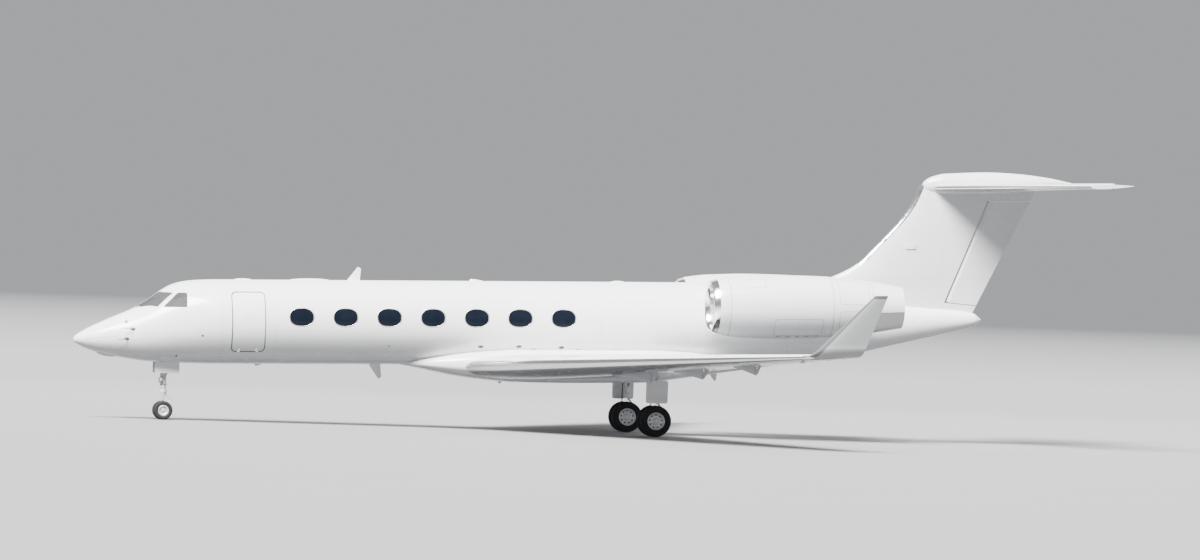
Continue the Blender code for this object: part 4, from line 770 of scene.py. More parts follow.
# Painted shade: a mid grey copy of the white paint, used on the winglet's face and on the plate under the
# door handle.
SHADE_GREY_PAINT = white_paint("grey_painted_shade", (0.56, 0.57, 0.585), levels=(-0.35, 0.75), dirt=0.1)
# Painted shade and painted dark reflection: a dark grey copy of the white paint for the winglet's leading
# edge and top.
EDGE_PAINTED_SHADE = white_paint("edge_painted_shade", (0.17, 0.175, 0.18), dirt=0.1)
POLISHED = metal("polished_edge", (0.80, 0.81, 0.82), 0.10, 0.24, (1, 6, 6), 40.0)
NOZZLE = metal("nozzle_metal", (0.36, 0.362, 0.365), 0.30, 0.48, (0.2, 3, 3), 60.0, NOZZLE_HEAT)
FRAME_METAL = metal("frame_metal", (0.70, 0.71, 0.73), 0.25, 0.42)
BLADE_METAL = metal("fan_blades", (0.50, 0.51, 0.54), 0.22, 0.36, (2, 1, 1), 70.0)
DARK_METAL = metal("engine_casing", (0.16, 0.155, 0.15), 0.4, 0.6)
CHROME = metal("piston_chrome", (0.86, 0.87, 0.88), 0.05, 0.14, on_ground=True)
STEEL = metal("fitting_steel", (0.42, 0.42, 0.43), 0.3, 0.5, on_ground=True)
BRAKE = metal("brake_discs", (0.10, 0.10, 0.105), 0.45, 0.7, on_ground=True)
GEAR_PAINT = grained("gear_paint", (0.72, 0.73, 0.74), (0.60, 0.60, 0.59), 0.28, 0.48, 120.0, 0.0002,
                     on_ground=True)
RIM_PAINT = grained("wheel_paint", (0.66, 0.67, 0.68), (0.50, 0.50, 0.50), 0.3, 0.5, 150.0, 0.0002,
                    metallic=0.5, on_ground=True)
HOSE = grained("hose", (0.03, 0.03, 0.032), (0.06, 0.06, 0.06), 0.5, 0.7, 500.0, 0.0003, on_ground=True)
SEAL = grained("seal", (0.13, 0.133, 0.137), (0.09, 0.09, 0.095), 0.5, 0.75, 300.0, 0.0002)
# Dark rubber seals, and painted shade where the same dark fills openings: the wheels' holes, the fin scoops'
# mouths and the vents' middles.
DARK_SEAL_AND_SHADE = grained("dark_seal_and_shade", (0.035, 0.036, 0.04), (0.06, 0.06, 0.06), 0.5, 0.75, 300.0, 0.0002)
LINING = grained("cabin_lining", (0.62, 0.58, 0.51), (0.55, 0.51, 0.45), 0.6, 0.8, 300.0, 0.0003)
PANEL = grained("panel_plastic", (0.055, 0.056, 0.06), (0.09, 0.09, 0.095), 0.45, 0.65, 500.0, 0.0002)
GRIP = grained("step_grip", (0.05, 0.05, 0.052), (0.11, 0.11, 0.11), 0.8, 0.95, 700.0, 0.0008)
BAY = grained("bay_primer", (0.42, 0.43, 0.36), (0.33, 0.34, 0.29), 0.5, 0.7, 120.0, 0.0003)
# Painted shade: the cabin panes are opaque near-black glass, standing in for the shaded cabin seen through
# clear panes.
SHADED_CABIN_GLASS = glass_finish("cabin_glass", (0.004, 0.006, 0.011), 0.12)
GREY_GLASS = glass_finish("windscreen_glass", (0.085, 0.088, 0.092), 0.03,
                          Transmission_Weight=0.35, IOR=1.12)
LEATHER = leather_finish()
CARPET = carpet_finish()
RUBBER = rubber_finish()
SCREEN = screen_finish()
SPINNER = spinner_finish()
LINER = liner_finish()
CLEAR_LENS = lens_finish()


# Fuselage.
def hull_values(station):
    """Half breadth, heights above and below the widest level, and that level."""
    level = smooth(WATERLINE, station)
    return smooth(BREADTH, station), smooth(CROWN, station) - level, level - smooth(KEEL, station), level


def hull_ring(station, inset=0.0, sides=HULL_SIDES):
    """One section of the fuselage skin, moved inwards by inset."""
    half, up, down, level = hull_values(station)
    ring = []
    for angle in turns(sides):
        rise = math.cos(angle)
        tall = (up if rise > 0 else down) - inset
        ring.append((station, (half - inset) * math.sin(angle), level + max(tall, 0.01) * rise))
    return ring


HULL_CACHE = {}
SLOPE_STEP = 0.004


def hull_slopes(station):
    """Section values and their rates of change along the fuselage."""
    key = round(station, 3)
    if key not in HULL_CACHE:
        low, high = max(key - SLOPE_STEP, 0.0), min(key + SLOPE_STEP, TAIL_END)
        rates = [(b - a) / (high - low) for a, b in zip(hull_values(low), hull_values(high))]
        HULL_CACHE[key] = (hull_values(key), rates)
    return HULL_CACHE[key]


def hull_normal(point):
    """The outward direction of the fuselage skin at a point on it."""
    (half, up, down, level), (d_half, d_up, d_down, d_level) = hull_slopes(point.x)
    rise = point.z - level
    tall, d_tall = (up, d_up) if rise > 0 else (down, d_down)
    a = point.y / half
    b = rise / tall
    along = -a * a * d_half / half - b * b * d_tall / tall - b * d_level / tall
    return Vector((along, a / half, b / tall)).normalized()


def hull_stations(start, end, room=0.004):
    """Close ring stations where the skin curves and none along the tube."""
    front = [0.7 + 0.1 * k for k in range(44)]
    back = [17.2 + 0.2 * k for k in range(44)]
    marks = [*NOSE_MARKS, *front, *back, *TAIL_MARKS]
    return [start] + [m for m in marks if start + room < m < end - room] + [end]


def hull_shell(start, end, outer=0.0, inner=WALL):
    """A length of fuselage with its outer and inner surface."""
    stations = hull_stations(start, end)
    rings = [hull_ring(s, outer) for s in stations] + [hull_ring(s, inner) for s in reversed(stations)]
    return loft(rings, closed=True)


def hull_point(station, angle, lift=0.0):
    """A point on the skin: angle is from the crown towards the right side, in degrees."""
    half, up, down, level = hull_values(station)
    rise = math.cos(math.radians(angle))
    side = half * math.sin(math.radians(angle))
    point = Vector((station, side, level + (up if rise > 0 else down) * rise))
    return point + hull_normal(point) * lift


def hull_side_point(station, level, side=-1, lift=0.0):
    """A point on the skin's side at a level above the cabin axis."""
    half, up, down, water = hull_values(station)
    tall = up if level > water else down
    out = half * math.sqrt(max(1 - ((level - water) / tall) ** 2, 0.0))
    point = Vector((station, side * out, level))
    return point + hull_normal(point) * lift


def skin_and_lining(centre, normal):
    """Paint outside and lining on faces that look inwards."""
    return 0 if normal.dot(hull_normal(centre)) > -0.6 else 1


def radome_rings(stations, tip=0.05):
    """The radome's outer sections, drawn in round towards the tip."""
    rings = []
    for s in stations:
        ring = hull_ring(s)
        if s < tip:
            scale = math.sqrt(max(1 - (1 - s / tip) ** 2, 0.0)) * 0.55 + 0.45
            middle = smooth(WATERLINE, s)
            ring = [(x, y * scale, middle + (z - middle) * scale) for x, y, z in ring]
        rings.append(ring)
    return rings


def nose_radome():
    """The radome skin and its lightning strips."""
    stations = hull_stations(0.0, RADOME_END - SECTION_GAP)
    rings = radome_rings(stations)
    rings += [hull_ring(s, 0.05) for s in reversed(stations[12:])]
    piece("skin_radome", loft(rings), [RADOME], nodes=["nose_radome"])
    strips = bmesh.new()
    strip = ((-0.22, -0.001), (-0.22, 0.0012), (0.22, 0.0012), (0.22, -0.001))
    for angle in (-125, -90, -50, 50, 90, 125):
        rows = []
        for k in range(13):
            station = 0.34 + 0.90 * k / 12
            rows.append([hull_point(station, angle + w / smooth(BREADTH, station), h) for w, h in strip])
        add_loft(strips, rows)
    piece("radome_strips", strips, [FRAME_METAL])


def cockpit_prism(kind, side, shrink):
    """The cutter of one cockpit window, with rounded corners."""
    if kind == "windscreen":
        outline = shrunk([(a, side * b) for a, b in WINDSCREEN], shrink)
        return plan_prism(rounded(outline, PANE_CORNER - min(shrink, 0.04)), *WINDSCREEN_CUT)
    outline = rounded(shrunk(SIDE_WINDOW, shrink), PANE_CORNER)
    return side_prism(outline, *(side * reach for reach in SIDE_WINDOW_CUT))


def cockpit():
    """The cockpit skin with its panes and their frames."""
    kinds = {"windscreen": "windscreen_", "side_window": "cockpit_side_window_"}
    cutters = [cockpit_prism(kind, side, 0.0) for side, _ in HANDS for kind in kinds]
    bay = [(2.26, -0.26), (3.02, -0.26), (3.02, 0.26), (2.26, 0.26)]
    cutters.append(plan_prism(bay, -1.4, -0.95))
    shell = boolean(hull_shell(RADOME_END, COCKPIT_END - SECTION_GAP), cutters)
    paint_faces(shell, skin_and_lining)
    piece("skin_cockpit", shell, [SKIN, LINING], nodes=["cockpit_fuselage"], normal_at=hull_normal)
    for side, hand in HANDS:
        for kind, node in kinds.items():
            cutter = cockpit_prism(kind, side, 0.003)
            pane = boolean(hull_shell(*PANE_RUN, 0.006, 0.024), [cutter], "INTERSECT")
            piece("pane_" + kind + "_" + hand, pane, [GREY_GLASS], nodes=[node + hand],
                  normal_at=hull_normal)
            cutter = cockpit_prism(kind, side, -0.014)
            ring = boolean(hull_shell(*PANE_RUN, -0.0018, 0.012), [cutter], "INTERSECT")
            ring = boolean(ring, [cockpit_prism(kind, side, 0.012)])
            paint_faces(ring, lambda centre, normal: 0 if normal.dot(hull_normal(centre)) > 0.6 else 1)
            piece("frame_" + kind + "_" + hand, ring, [COWL_PAINT, DARK_SEAL_AND_SHADE],
                  normal_at=hull_normal)


def window_outline(index, shrink=0.0, count=48):
    """A cabin window in side view, made smaller by shrink."""
    centre = (WINDOW_FIRST + index * WINDOW_PITCH, WINDOW_LEVEL)
    return superellipse(centre, [half - shrink for half in WINDOW_HALF], 0.84, count)


def on_tube(point, radius, side):
    """Lays a (station, level) point on the cabin tube at a radius."""
    return (point[0], side * math.sqrt(radius * radius - point[1] ** 2), point[1])


def window_holes(side, near, far, **outline):
    """Prisms through the wall of one side, one for each cabin window."""
    holes = bmesh.new()
    for index in range(WINDOW_COUNT):
        points = window_outline(index, **outline)
        add_prism(holes, points, lambda p: (p[0], side * near, p[1]), lambda p: (p[0], side * far, p[1]))
    return holes


def door_outline():
    """The airstair door in side view."""
    corners = [DOOR_LOW, (DOOR_HIGH[0], DOOR_LOW[1]), DOOR_HIGH, (DOOR_LOW[0], DOOR_HIGH[1])]
    return rounded(corners, DOOR_CORNER, 8)


def cabin():
    """The cabin skin with its lining, and the thin seal round the door."""
    cutters = [window_holes(side, 0.9, 1.4) for side, _ in HANDS]
    door = door_outline()
    cutters.append(side_prism(door, *DOOR_CUT))
    shell = boolean(hull_shell(COCKPIT_END, CABIN_END - SECTION_GAP), cutters)
    paint_faces(shell, skin_and_lining)
    piece("skin_cabin", shell, [SKIN, LINING], nodes=["cabin_fuselage"], normal_at=hull_normal)
    seal = bmesh.new()
    rings = []
    for shrink, radius in ((0.001, 1.180), (0.001, 1.1965), (-0.022, 1.1968), (-0.024, 1.190)):
        rings.append([on_tube(p, radius, -1) for p in shrunk(dense(door, 0.04), shrink)])
    add_loft(seal, rings, closed=True)
    piece("door_surround", seal, [SEAL])


# A pane's sections as (scale, radius) and its frame's as (inset, radius), from the cabin axis.
PANE_SECTIONS = ((0.02, 1.1835), (0.5, 1.1830), (0.93, 1.1805), (1.0, 1.178), (1.0, 1.168), (0.02, 1.168))
RING_SECTIONS = (
    (-0.020, 1.1935), (-0.019, 1.1968), (-0.014, 1.1985), (-0.002, 1.1985), (0.004, 1.1965),
    (0.010, 1.186), (0.011, 1.176), (-0.004, 1.176),
)
RING_METAL_RADIUS = 1.1925
BELT_REACH = 0.5


def window_pane(bm, index, side):
    """Adds one cabin pane, curved with the tube, in opaque dark glass that is painted shade of the cabin
    behind it.
    """
    centre = (WINDOW_FIRST + index * WINDOW_PITCH, WINDOW_LEVEL)
    rows = []
    for scale, radius in PANE_SECTIONS:
        outline = [(centre[0] + (a - centre[0]) * scale, centre[1] + (b - centre[1]) * scale)
                   for a, b in window_outline(index, 0.010)]
        rows.append([on_tube(p, radius, side) for p in outline])
    add_loft(bm, rows)


def window_ring(bm, index, side):
    """Adds the metal rim of one cabin window."""
    rows = [[on_tube(p, radius, side) for p in window_outline(index, inset)]
            for inset, radius in RING_SECTIONS]
    for face in add_loft(bm, rows, closed=True):
        middle = face.calc_center_median()
        face.material_index = 1 if math.hypot(middle.y, middle.z) < RING_METAL_RADIUS else 0


def window_belt(side):
    """The lining panel that the windows of one side stand in."""
    ends = (WINDOW_FIRST - BELT_REACH, WINDOW_FIRST + (WINDOW_COUNT - 1) * WINDOW_PITCH + BELT_REACH)
    seat = CABIN_RADIUS - WALL
    angles = [math.radians(62 + 3 * k) for k in range(15)]
    section = [(r * math.sin(a), r * math.cos(a))
               for r, run in ((seat - 0.001, angles), (seat - 0.02, angles[::-1])) for a in run]
    belt = loft([[(x, side * y, z) for y, z in section] for x in ends])
    return boolean(belt, [window_holes(side, 0.8, 1.3, shrink=0.03, count=32)])


def cabin_windows():
    """Two rows of oval windows, each with a pane and a metal ring, in a lined belt."""
    for side, hand in HANDS:
        panes, frames = bmesh.new(), bmesh.new()
        for index in range(WINDOW_COUNT):
            window_pane(panes, index, side)
            window_ring(frames, index, side)
        piece("window_panes_" + hand, panes, [SHADED_CABIN_GLASS], nodes=["cabin_windows_" + hand],
              sharp=50)
        piece("window_rings_" + hand, frames, [FRAME_METAL, DARK_SEAL_AND_SHADE], sharp=50)
        piece("window_belt_" + hand, window_belt(side), [LINING])


def door_hinge():
    """The line the airstair door turns about, on its sill."""
    radius = CABIN_RADIUS + HINGE_STANDOFF
    angle = math.asin(DOOR_LOW[1] / CABIN_RADIUS)
    return Vector((0.0, -radius * math.cos(angle), radius * math.sin(angle)))


def airstair_door():
    """The curved panel, its treads with grip strips, hinges and handle."""
    middle = (DOOR_LOW[0] + DOOR_HIGH[0]) / 2
    cutter = side_prism(shrunk(door_outline(), PANEL_GAP), *DOOR_CUT)
    panel = boolean(hull_shell(COCKPIT_END, 5.6), [cutter], "INTERSECT")
    paint_faces(panel, skin_and_lining)
    piece("door_panel", panel, [SKIN, LINING], "airstair_door", ["airstair_door"], normal_at=hull_normal)
    piece("door_treads", door_treads(middle), [FRAME_METAL, GRIP], "airstair_door")
    piece("door_hinge_leaves", hinge_leaves(1), [SKIN], "airstair_door")
    piece("sill_hinge_leaves", hinge_leaves(-1), [SKIN], "airframe")
    handle = bmesh.new()
    plate = rounded([(-0.075, -0.03), (0.075, -0.03), (0.075, 0.03), (-0.075, 0.03)], 0.02)
    # The larger, lower plate takes the grey paint: painted shade round the handle.
    for size, low, high, paint in ((1.0, 1.1930, 1.1958, 1), (0.86, 1.1955, 1.1975, 0)):
        outline = [(middle + a * size, 0.12 + b * size) for a, b in plate]
        add_loft(handle, [[on_tube(p, radius, -1) for p in outline] for radius in (low, high)], paint=paint)
    piece("door_handle", handle, [SKIN, SHADE_GREY_PAINT], "airstair_door")


def door_treads(middle):
    """Steps that lie level once the door is open, with grip strips above and below."""
    treads = bmesh.new()
    inside = CABIN_RADIUS - WALL
    along = Vector((0.0, math.cos(STAIR_ANGLE - math.pi / 2), math.sin(STAIR_ANGLE - math.pi / 2)))
    up = Vector((0.0, -along.z, along.y))
    turn = Matrix(((1, 0, 0), (0, along.y, up.y), (0, along.z, up.z))).to_4x4()
    for index in range(STAIR_COUNT):
        level = DOOR_LOW[1] + 0.20 + index * STAIR_PITCH
        root = Vector((middle, -math.sqrt(inside**2 - level**2) - 0.02, level))
        place = Matrix.Translation(root) @ turn
        add_block(treads, (-0.33, 0.0, -0.012), (0.33, 0.24, 0.012), 0.005, 0, place)
        for k in range(6):
            edge = 0.045 + k * 0.033
            for low, high in ((-0.0135, -0.0115), (0.0115, 0.0135)):
                add_block(treads, (-0.30, edge, low), (0.30, edge + 0.018, high), 0.0006, 1, place)
    return treads


def hinge_leaves(way):
    """Two leaves curling round the hinge line: up the door with way 1, down the sill with -1."""
    hinge = door_hinge()
    out = Vector((0, hinge.y, hinge.z)).normalized()
    rise = Vector((0, out.z, -out.y))
    outline = [(-0.034, 0.080), (-0.034, 0.022), (-0.006, -0.011), (0.004, -0.011), (0.010, -0.004),
               (0.010, 0.006), (-0.010, 0.080)]
    points = [hinge + out * a + rise * b * way for a, b in outline]
    leaves = bmesh.new()
    for station, hand in ((DOOR_LOW[0] + HINGE_INSET, -1), (DOOR_HIGH[0] - HINGE_INSET, 1)):
        x = station if way > 0 else station + hand * 0.033
        add_prism(leaves, points, lambda p: (x - 0.015, p.y, p.z), lambda p: (x + 0.015, p.y, p.z))
        if way > 0:
            pin_end = (station + hand * 0.050, hinge.y, hinge.z)
            add_rod(leaves, (station, hinge.y, hinge.z), pin_end, 0.006)
    return leaves


def aft_sections():
    """The aft section and the tail cone."""
    shell = hull_shell(CABIN_END, AFT_END - SECTION_GAP)
    piece("skin_aft", shell, [SKIN], nodes=["aft_fuselage"], normal_at=hull_normal)
    cone = loft([hull_ring(s) for s in hull_stations(AFT_END, TAIL_END)])
    piece("skin_tail_cone", cone, [SKIN], nodes=["tail_cone"])


def belly_fairing():
    """The squarish fairing under the wing's middle."""
    rings = []
    start, end = BELLY_DEPTH[0][0], BELLY_DEPTH[-1][0]
    count = 90
    for i in range(count + 1):
        station = start + (end - start) * i / count
        depth, half, top = [smooth(t, station) for t in (BELLY_DEPTH, BELLY_HALF, BELLY_TOP)]
        ring = []
        for angle in turns(72):
            c, s = math.cos(angle), math.sin(angle)
            y = half * math.copysign(abs(s) ** 0.62, s)
            z = (top - depth) / 2 + (depth + top) / 2 * math.copysign(abs(c) ** 0.75, c)
            ring.append((station, y, z))
        rings.append(ring)
    piece("skin_belly", loft(rings), [BELLY_PAINT], nodes=["belly_fairing"], sharp=40)


# Wings.
def foil(chord, thickness, camber, steps=FINE_STEPS, tip=0.004):
    """An aerofoil outline from the upper trailing edge round the nose to the lower one."""
    upper, lower = [], []
    for f in steps:
        half = 0.2969 * math.sqrt(f) - 0.1260 * f - 0.3516 * f**2 + 0.2843 * f**3 - 0.1036 * f**4
        half = 5 * thickness * half * chord + tip * f
        middle = camber * chord * 4 * f * (1 - f)
        upper.append((f * chord, middle + half))
        lower.append((f * chord, middle - half))
    return upper[::-1] + lower[1:]


def wing_values(span):
    """Nose station, chord, nose level, thickness and twist of the wing at a span."""
    part = (span - WING_SPANS[0]) / (WING_SPANS[1] - WING_SPANS[0])
    lines = [a + b * span for a, b in (WING_NOSE, WING_CHORD, WING_LEVEL)]
    return (*lines, *[a + part * (b - a) for a, b in (WING_THICKNESS, WING_TWIST)])


def wing_ring(span, side, steps=FINE_STEPS):
    """The wing's section at one place along the span."""
    nose, chord, level, thickness, twist = wing_values(span)
    section = foil(chord, thickness, WING_CAMBER, steps)
    return [(nose + x, side * span, level + z - x * math.sin(twist)) for x, z in section]


def wing_body(side, count=24):
    """The whole wing in straight-line sections between its root and tip."""
    ends = [wing_ring(span, side) for span in WING_SPANS]
    return loft([[Vector(a).lerp(Vector(b), k / count) for a, b in zip(*ends)] for k in range(count + 1)])


def wing_point(span, fraction, above=0.5, steps=COARSE_STEPS):
    """A point of the wing at a chord fraction: above is 1 on the upper skin and 0 on the lower."""
    part = (span - WING_SPANS[0]) / (WING_SPANS[1] - WING_SPANS[0])
    ends = [wing_ring(s, 1, steps) for s in WING_SPANS]
    ring = [Vector(a).lerp(Vector(b), part) for a, b in zip(*ends)]
    count = len(steps)
    upper, lower = ring[:count][::-1], ring[count - 1:]
    x = upper[0].x + fraction * (upper[-1].x - upper[0].x)
    low, high = [read_line([(p.x, p.z) for p in run], x) for run in (lower, upper)]
    return Vector((x, span, low + above * (high - low)))


def mirrored(point, side):
    """The same point on the left or the right side."""
    return Vector((point.x, side * point.y, point.z))


class Surface:
    """A hinge line and the blocks that part a moving surface from the fixed structure."""

    def __init__(self, start, end, lengths, nose, lift=(0, 0, 1)):
        self.start, self.end = Vector(start), Vector(end)
        self.along = (self.end - self.start).normalized()
        self.lift = (Vector(lift) - self.along * Vector(lift).dot(self.along)).normalized()
        self.aft = self.along.cross(self.lift)
        if self.aft.x < 0:
            self.aft = -self.aft
        self.lengths, self.nose = lengths, nose

    def block(self, front, sides, low, high, behind=0.0):
        rings = []
        for way, length in ((-1, self.lengths[0]), (1, self.lengths[1])):
            place = (self.start if way < 0 else self.end) + self.along * way * sides
            corners = ((-front, low), (length + behind, low), (length + behind, high), (-front, high))
            rings.append([place + self.aft * a + self.lift * b for a, b in corners])
        return loft(rings)

    def nose_rod(self, grow):
        bm = bmesh.new()
        inset = self.along * SURFACE_INSET
        radii = [radius + grow for radius in self.nose]
        add_rod(bm, self.start + inset, self.end - inset, *radii, 40, edge=0.0)
        return bm

    def pins(self, radius, reach):
        bm = bmesh.new()
        for end, way in ((self.start, -1), (self.end, 1)):
            add_rod(bm, end - self.along * way * 0.04, end + self.along * way * reach, radius)
        return bm

    def point(self, foot, aft, lift, along):
        return foot + self.aft * aft + self.lift * lift + self.along * along

    def plate(self, bm, foot, outline, near, far):
        """A flat plate across the hinge line, between two places along it."""
        add_prism(bm, outline, lambda p: self.point(foot, *p, near), lambda p: self.point(foot, *p, far))

    def fairing(self, bm, foot, ends, lows, top):
        """A canoe ahead of the hinge: pointed in front, swelling, then as narrow as its bracket."""
        rings = []
        arc = [math.pi * j / 14 for j in range(1, 14)]
        for k in range(25):
            part = k / 24
            aft = ends[0] + part * (ends[1] - ends[0])
            low = lows[0] + (lows[1] - lows[0]) * part ** 1.25
            half = 0.003 + 0.019 * part + 0.036 * math.sin(math.pi * part)
            depth = min(0.075, 0.03 + 0.09 * part)
            ring = [(half, top), (half, low + depth)]
            ring += [(half * math.cos(t), low + depth * (1 - math.sin(t))) for t in arc]
            ring += [(-half, low + depth), (-half, top)]
            rings.append([self.point(foot, aft, lift, along) for along, lift in ring])
        add_loft(bm, rings)


def moving_surface(name, surface, full, fixed_cutters, finishes, depth):
    """A hinged surface: the full body inside its block, its round nose and its pins."""
    panel = boolean(full, [surface.block(-SURFACE_INSET, 0.0, -depth, depth)], "INTERSECT")
    extra = joined(surface.nose_rod(-SURFACE_INSET), surface.pins(HINGE_PIN, PIN_REACH))
    front = max(surface.nose) + PANEL_GAP
    fixed_cutters.append(surface.block(front, PANEL_GAP, -depth, depth, ROOM_BEHIND))
    paint_faces(panel, painted_shade_below_rule)
    piece("surface_" + name, joined(panel, extra), finishes, name, [name])


# The flap's brackets, measured aft of and above its hinge line.
BRACKET_SHARES = (0.06, 0.50, 0.94)
ARM_SIDES = (0.026, 0.056)
BRACKET_HALF = 0.020
BRACKET_TOP = 0.27
CANOE_REACH = 0.235


def flap_brackets(flap, front):
    """The flap's arms, and the wing's brackets with a canoe fairing ahead of each."""
    arms, brackets = bmesh.new(), bmesh.new()
    reach = (flap.end - flap.start).length
    for share in BRACKET_SHARES:
        foot = flap.start + flap.along * reach * share
        chord = wing_values(abs(foot.y))[1]
        arm = [(-0.028, -0.010), (-0.010, -0.028), (0.03, -0.028), (0.053 * chord, 0.235),
               (front + 0.004, 0.245), (front + 0.004, 0.13), (-0.028, 0.03)]
        flap.plate(arms, foot, rounded(arm, 0.05, 5), *ARM_SIDES)
        add_rod(arms, foot - flap.along * 0.022, foot + flap.along * 0.062, 0.015)
        nose, back = -0.06 * chord, front - 0.012
        wedge = [(nose, BRACKET_TOP), (nose, 0.06), (-0.05, -0.05), (0.0, -0.058), (0.028, -0.04),
                 (0.028, 0.03), (back, 0.10), (back, BRACKET_TOP)]
        flap.plate(brackets, foot, rounded(wedge, 0.10, 8), -BRACKET_HALF, BRACKET_HALF)
        flap.fairing(brackets, foot, (-CANOE_REACH * chord, -0.052), (0.155, -0.048), BRACKET_TOP)
    return arms, brackets


def wing(side, hand):
    """One wing with its flap, aileron and spoiler, parted where they move."""
    low = [wing_point(span, FLAP_FRONT, 0) for span in FLAP_SPAN]
    ends = [mirrored(p - Vector((FLAP_HINGE_LEAD, 0, FLAP_HINGE_DROP)), side) for p in low]
    flap = Surface(*ends, FLAP_LENGTHS, (0.0, 0.0))
    front = flap.aft.dot(mirrored(low[0], side) - ends[0])
    panel = boolean(wing_body(side), [flap.block(-front, 0.0, 0.0, 1.2)], "INTERSECT")
    cutters = [flap.block(-front + PANEL_GAP, PANEL_GAP, -0.1, 1.4, ROOM_BEHIND)]
    arms, brackets = flap_brackets(flap, front)
    name = "flap_" + hand
    paint_faces(panel, painted_shade_below_rule)
    piece("surface_" + name, joined(panel, arms), [WING_PAINT, UNDERSIDE_PAINTED_SHADE], name, [name])
    ends, radii = [], []
    for span in AILERON_SPAN:
        ends.append(mirrored(wing_point(span, AILERON_HINGE), side))
        skins = [wing_point(span, AILERON_HINGE, above).z for above in (0, 1)]
        radii.append((skins[1] - skins[0]) / 2)
    aileron = Surface(*ends, AILERON_LENGTHS, radii)
    moving_surface("aileron_" + hand, aileron, wing_body(side), cutters, [WING_PAINT, UNDERSIDE_PAINTED_SHADE], 0.3)
    cutters.append(make_spoiler(side, hand))
    body = boolean(wing_body(side), cutters)
    paint_faces(body, wing_paint_rule)
    piece("skin_wing_" + hand, joined(body, brackets), [WING_PAINT, POLISHED, UNDERSIDE_PAINTED_SHADE],
          nodes=["wing_" + hand])


def painted_shade_below_rule(centre, normal):
    """Painted shade: a dark grey copy of the paint on faces that look down."""
    return 1 if normal.z < -0.5 else 0


def wing_paint_rule(centre, normal):
    """Bare metal along the leading edge, and painted shade, a dark grey copy of the paint, on faces that look
    down.
    """
    nose, chord = wing_values(abs(centre.y))[:2]
    if centre.x - nose < EDGE_SHARE * chord:
        return 1
    return 2 if normal.z < -0.5 else 0


def make_spoiler(side, hand):
    """The spoiler panel, and the block that makes room for it in the wing."""
    ends = [wing_point(span, SPOILER_HINGE, 1) for span in SPOILER_SPAN]
    fall = wing_point(SPOILER_SPAN[0], SPOILER_BACK, 1) - ends[0]
    lift = Vector((-fall.z, 0.0, fall.x)).normalized()
    start, end = [mirrored(p - lift * (SPOILER_HALF + 0.001), side) for p in ends]
    lengths = [(SPOILER_BACK - SPOILER_HINGE) * wing_values(span)[1] for span in SPOILER_SPAN]
    surface = Surface(start, end, lengths, (SPOILER_HALF,) * 2, lift)
    name = "spoiler_" + hand
    plate = surface.block(0.0, 0.0, -SPOILER_HALF, SPOILER_HALF)
    shape = joined(plate, surface.nose_rod(-0.0005), surface.pins(HINGE_PIN / 2, PIN_REACH))
    piece("surface_" + name, shape, [WING_PAINT], name, [name])
    room = SPOILER_HALF + PANEL_GAP
    return surface.block(room, PANEL_GAP, -room, 0.3, PANEL_GAP)


def winglet_places(level):
    """Sections up the blended tip as (span, height, cant): a curve, then a straight blade."""
    places = []
    for k in range(17):
        angle = WINGLET_CANT * k / 16
        span = WING_SPANS[1] + 0.001 + WINGLET_BLEND * math.sin(angle)
        places.append((span, WINGLET_BLEND * (1 - math.cos(angle)), angle))
    base = places[-1]
    for k in range(1, 17):
        part = k / 16
        span = base[0] + (WINGLET_TOP[0] - base[0]) * part
        places.append((span, base[1] + (WINGLET_TOP[1] - level - base[1]) * part, base[2]))
    return places


def winglet(side, hand):
    """The blended tip, with painted shade on its grey face and dark edges, and the lamp at the wing's end."""
    nose, chord, level, thickness, twist = wing_values(WING_SPANS[1])
    places = winglet_places(level)
    lengths = [0.0]
    for a, b in zip(places, places[1:]):
        lengths.append(lengths[-1] + math.hypot(b[0] - a[0], b[1] - a[1]))
    rings = []
    for (span, height, angle), length in zip(places, lengths):
        part = length / lengths[-1]
        ring_nose = nose + part * (WINGLET_TOP_STATION - nose)
        ring_chord = chord + part * (WINGLET_TOP_CHORD - chord)
        ring_thickness = thickness + part * (WINGLET_TOP_THICKNESS - thickness)
        ring = []
        for x, z in foil(ring_chord, ring_thickness, WING_CAMBER * (1 - part)):
            z -= x * math.sin(twist) * (1 - part)
            y = side * (span - z * math.sin(angle))
            ring.append((ring_nose + x, y, level + height + z * math.cos(angle)))
        rings.append(ring)
    blade = loft(rings)
    blade.faces.ensure_lookup_table()
    # The top rows, and the leading edge from the seventh row up, take the dark edge paint, which is painted
    # shade and painted dark reflection. The leading edge's first rows are polished metal. The rest takes the
    # grey face paint, which is painted shade.
    for index, face in enumerate(blade.faces):
        row, column = divmod(index, len(rings[0]))
        near_nose = abs(column + 0.5 - len(rings[0]) / 2) < 8.5
        if row >= len(places) - 2 or (near_nose and row >= 6):
            face.material_index = 1
        elif near_nose:
            face.material_index = 2
    piece("skin_winglet_" + hand, blade, [SHADE_GREY_PAINT, EDGE_PAINTED_SHADE, POLISHED],
          nodes=["winglet_" + hand])
    lamp = bmesh.new()
    glass = [(0.0, 0.004), (0.02, 0.022), (0.06, 0.030), (0.11, 0.020), (0.15, 0.004)]
    add_turned(lamp, glass, (nose + 0.06, side * (WING_SPANS[1] - 0.25), level - 0.115), (1, 0, 0), 24)
    piece("tip_lamp_" + hand, lamp, [CLEAR_LENS])


# Tail.
def fin_values(level):
    """Nose station and chord of the fin at a level."""
    nose = smooth(FIN_NOSE, level)
    back, foot, slope = FIN_BACK
    return nose, back + slope * (level - foot) - nose


def fin_ring(level, steps=FINE_STEPS):
    """The fin's section at one height."""
    nose, chord = fin_values(level)
    thick, foot, taper = FIN_THICKNESS
    thickness = thick * (1 - taper * (level - foot)) / chord
    return [(nose + x, y, level) for x, y in foil(chord, thickness, 0.0, steps)]


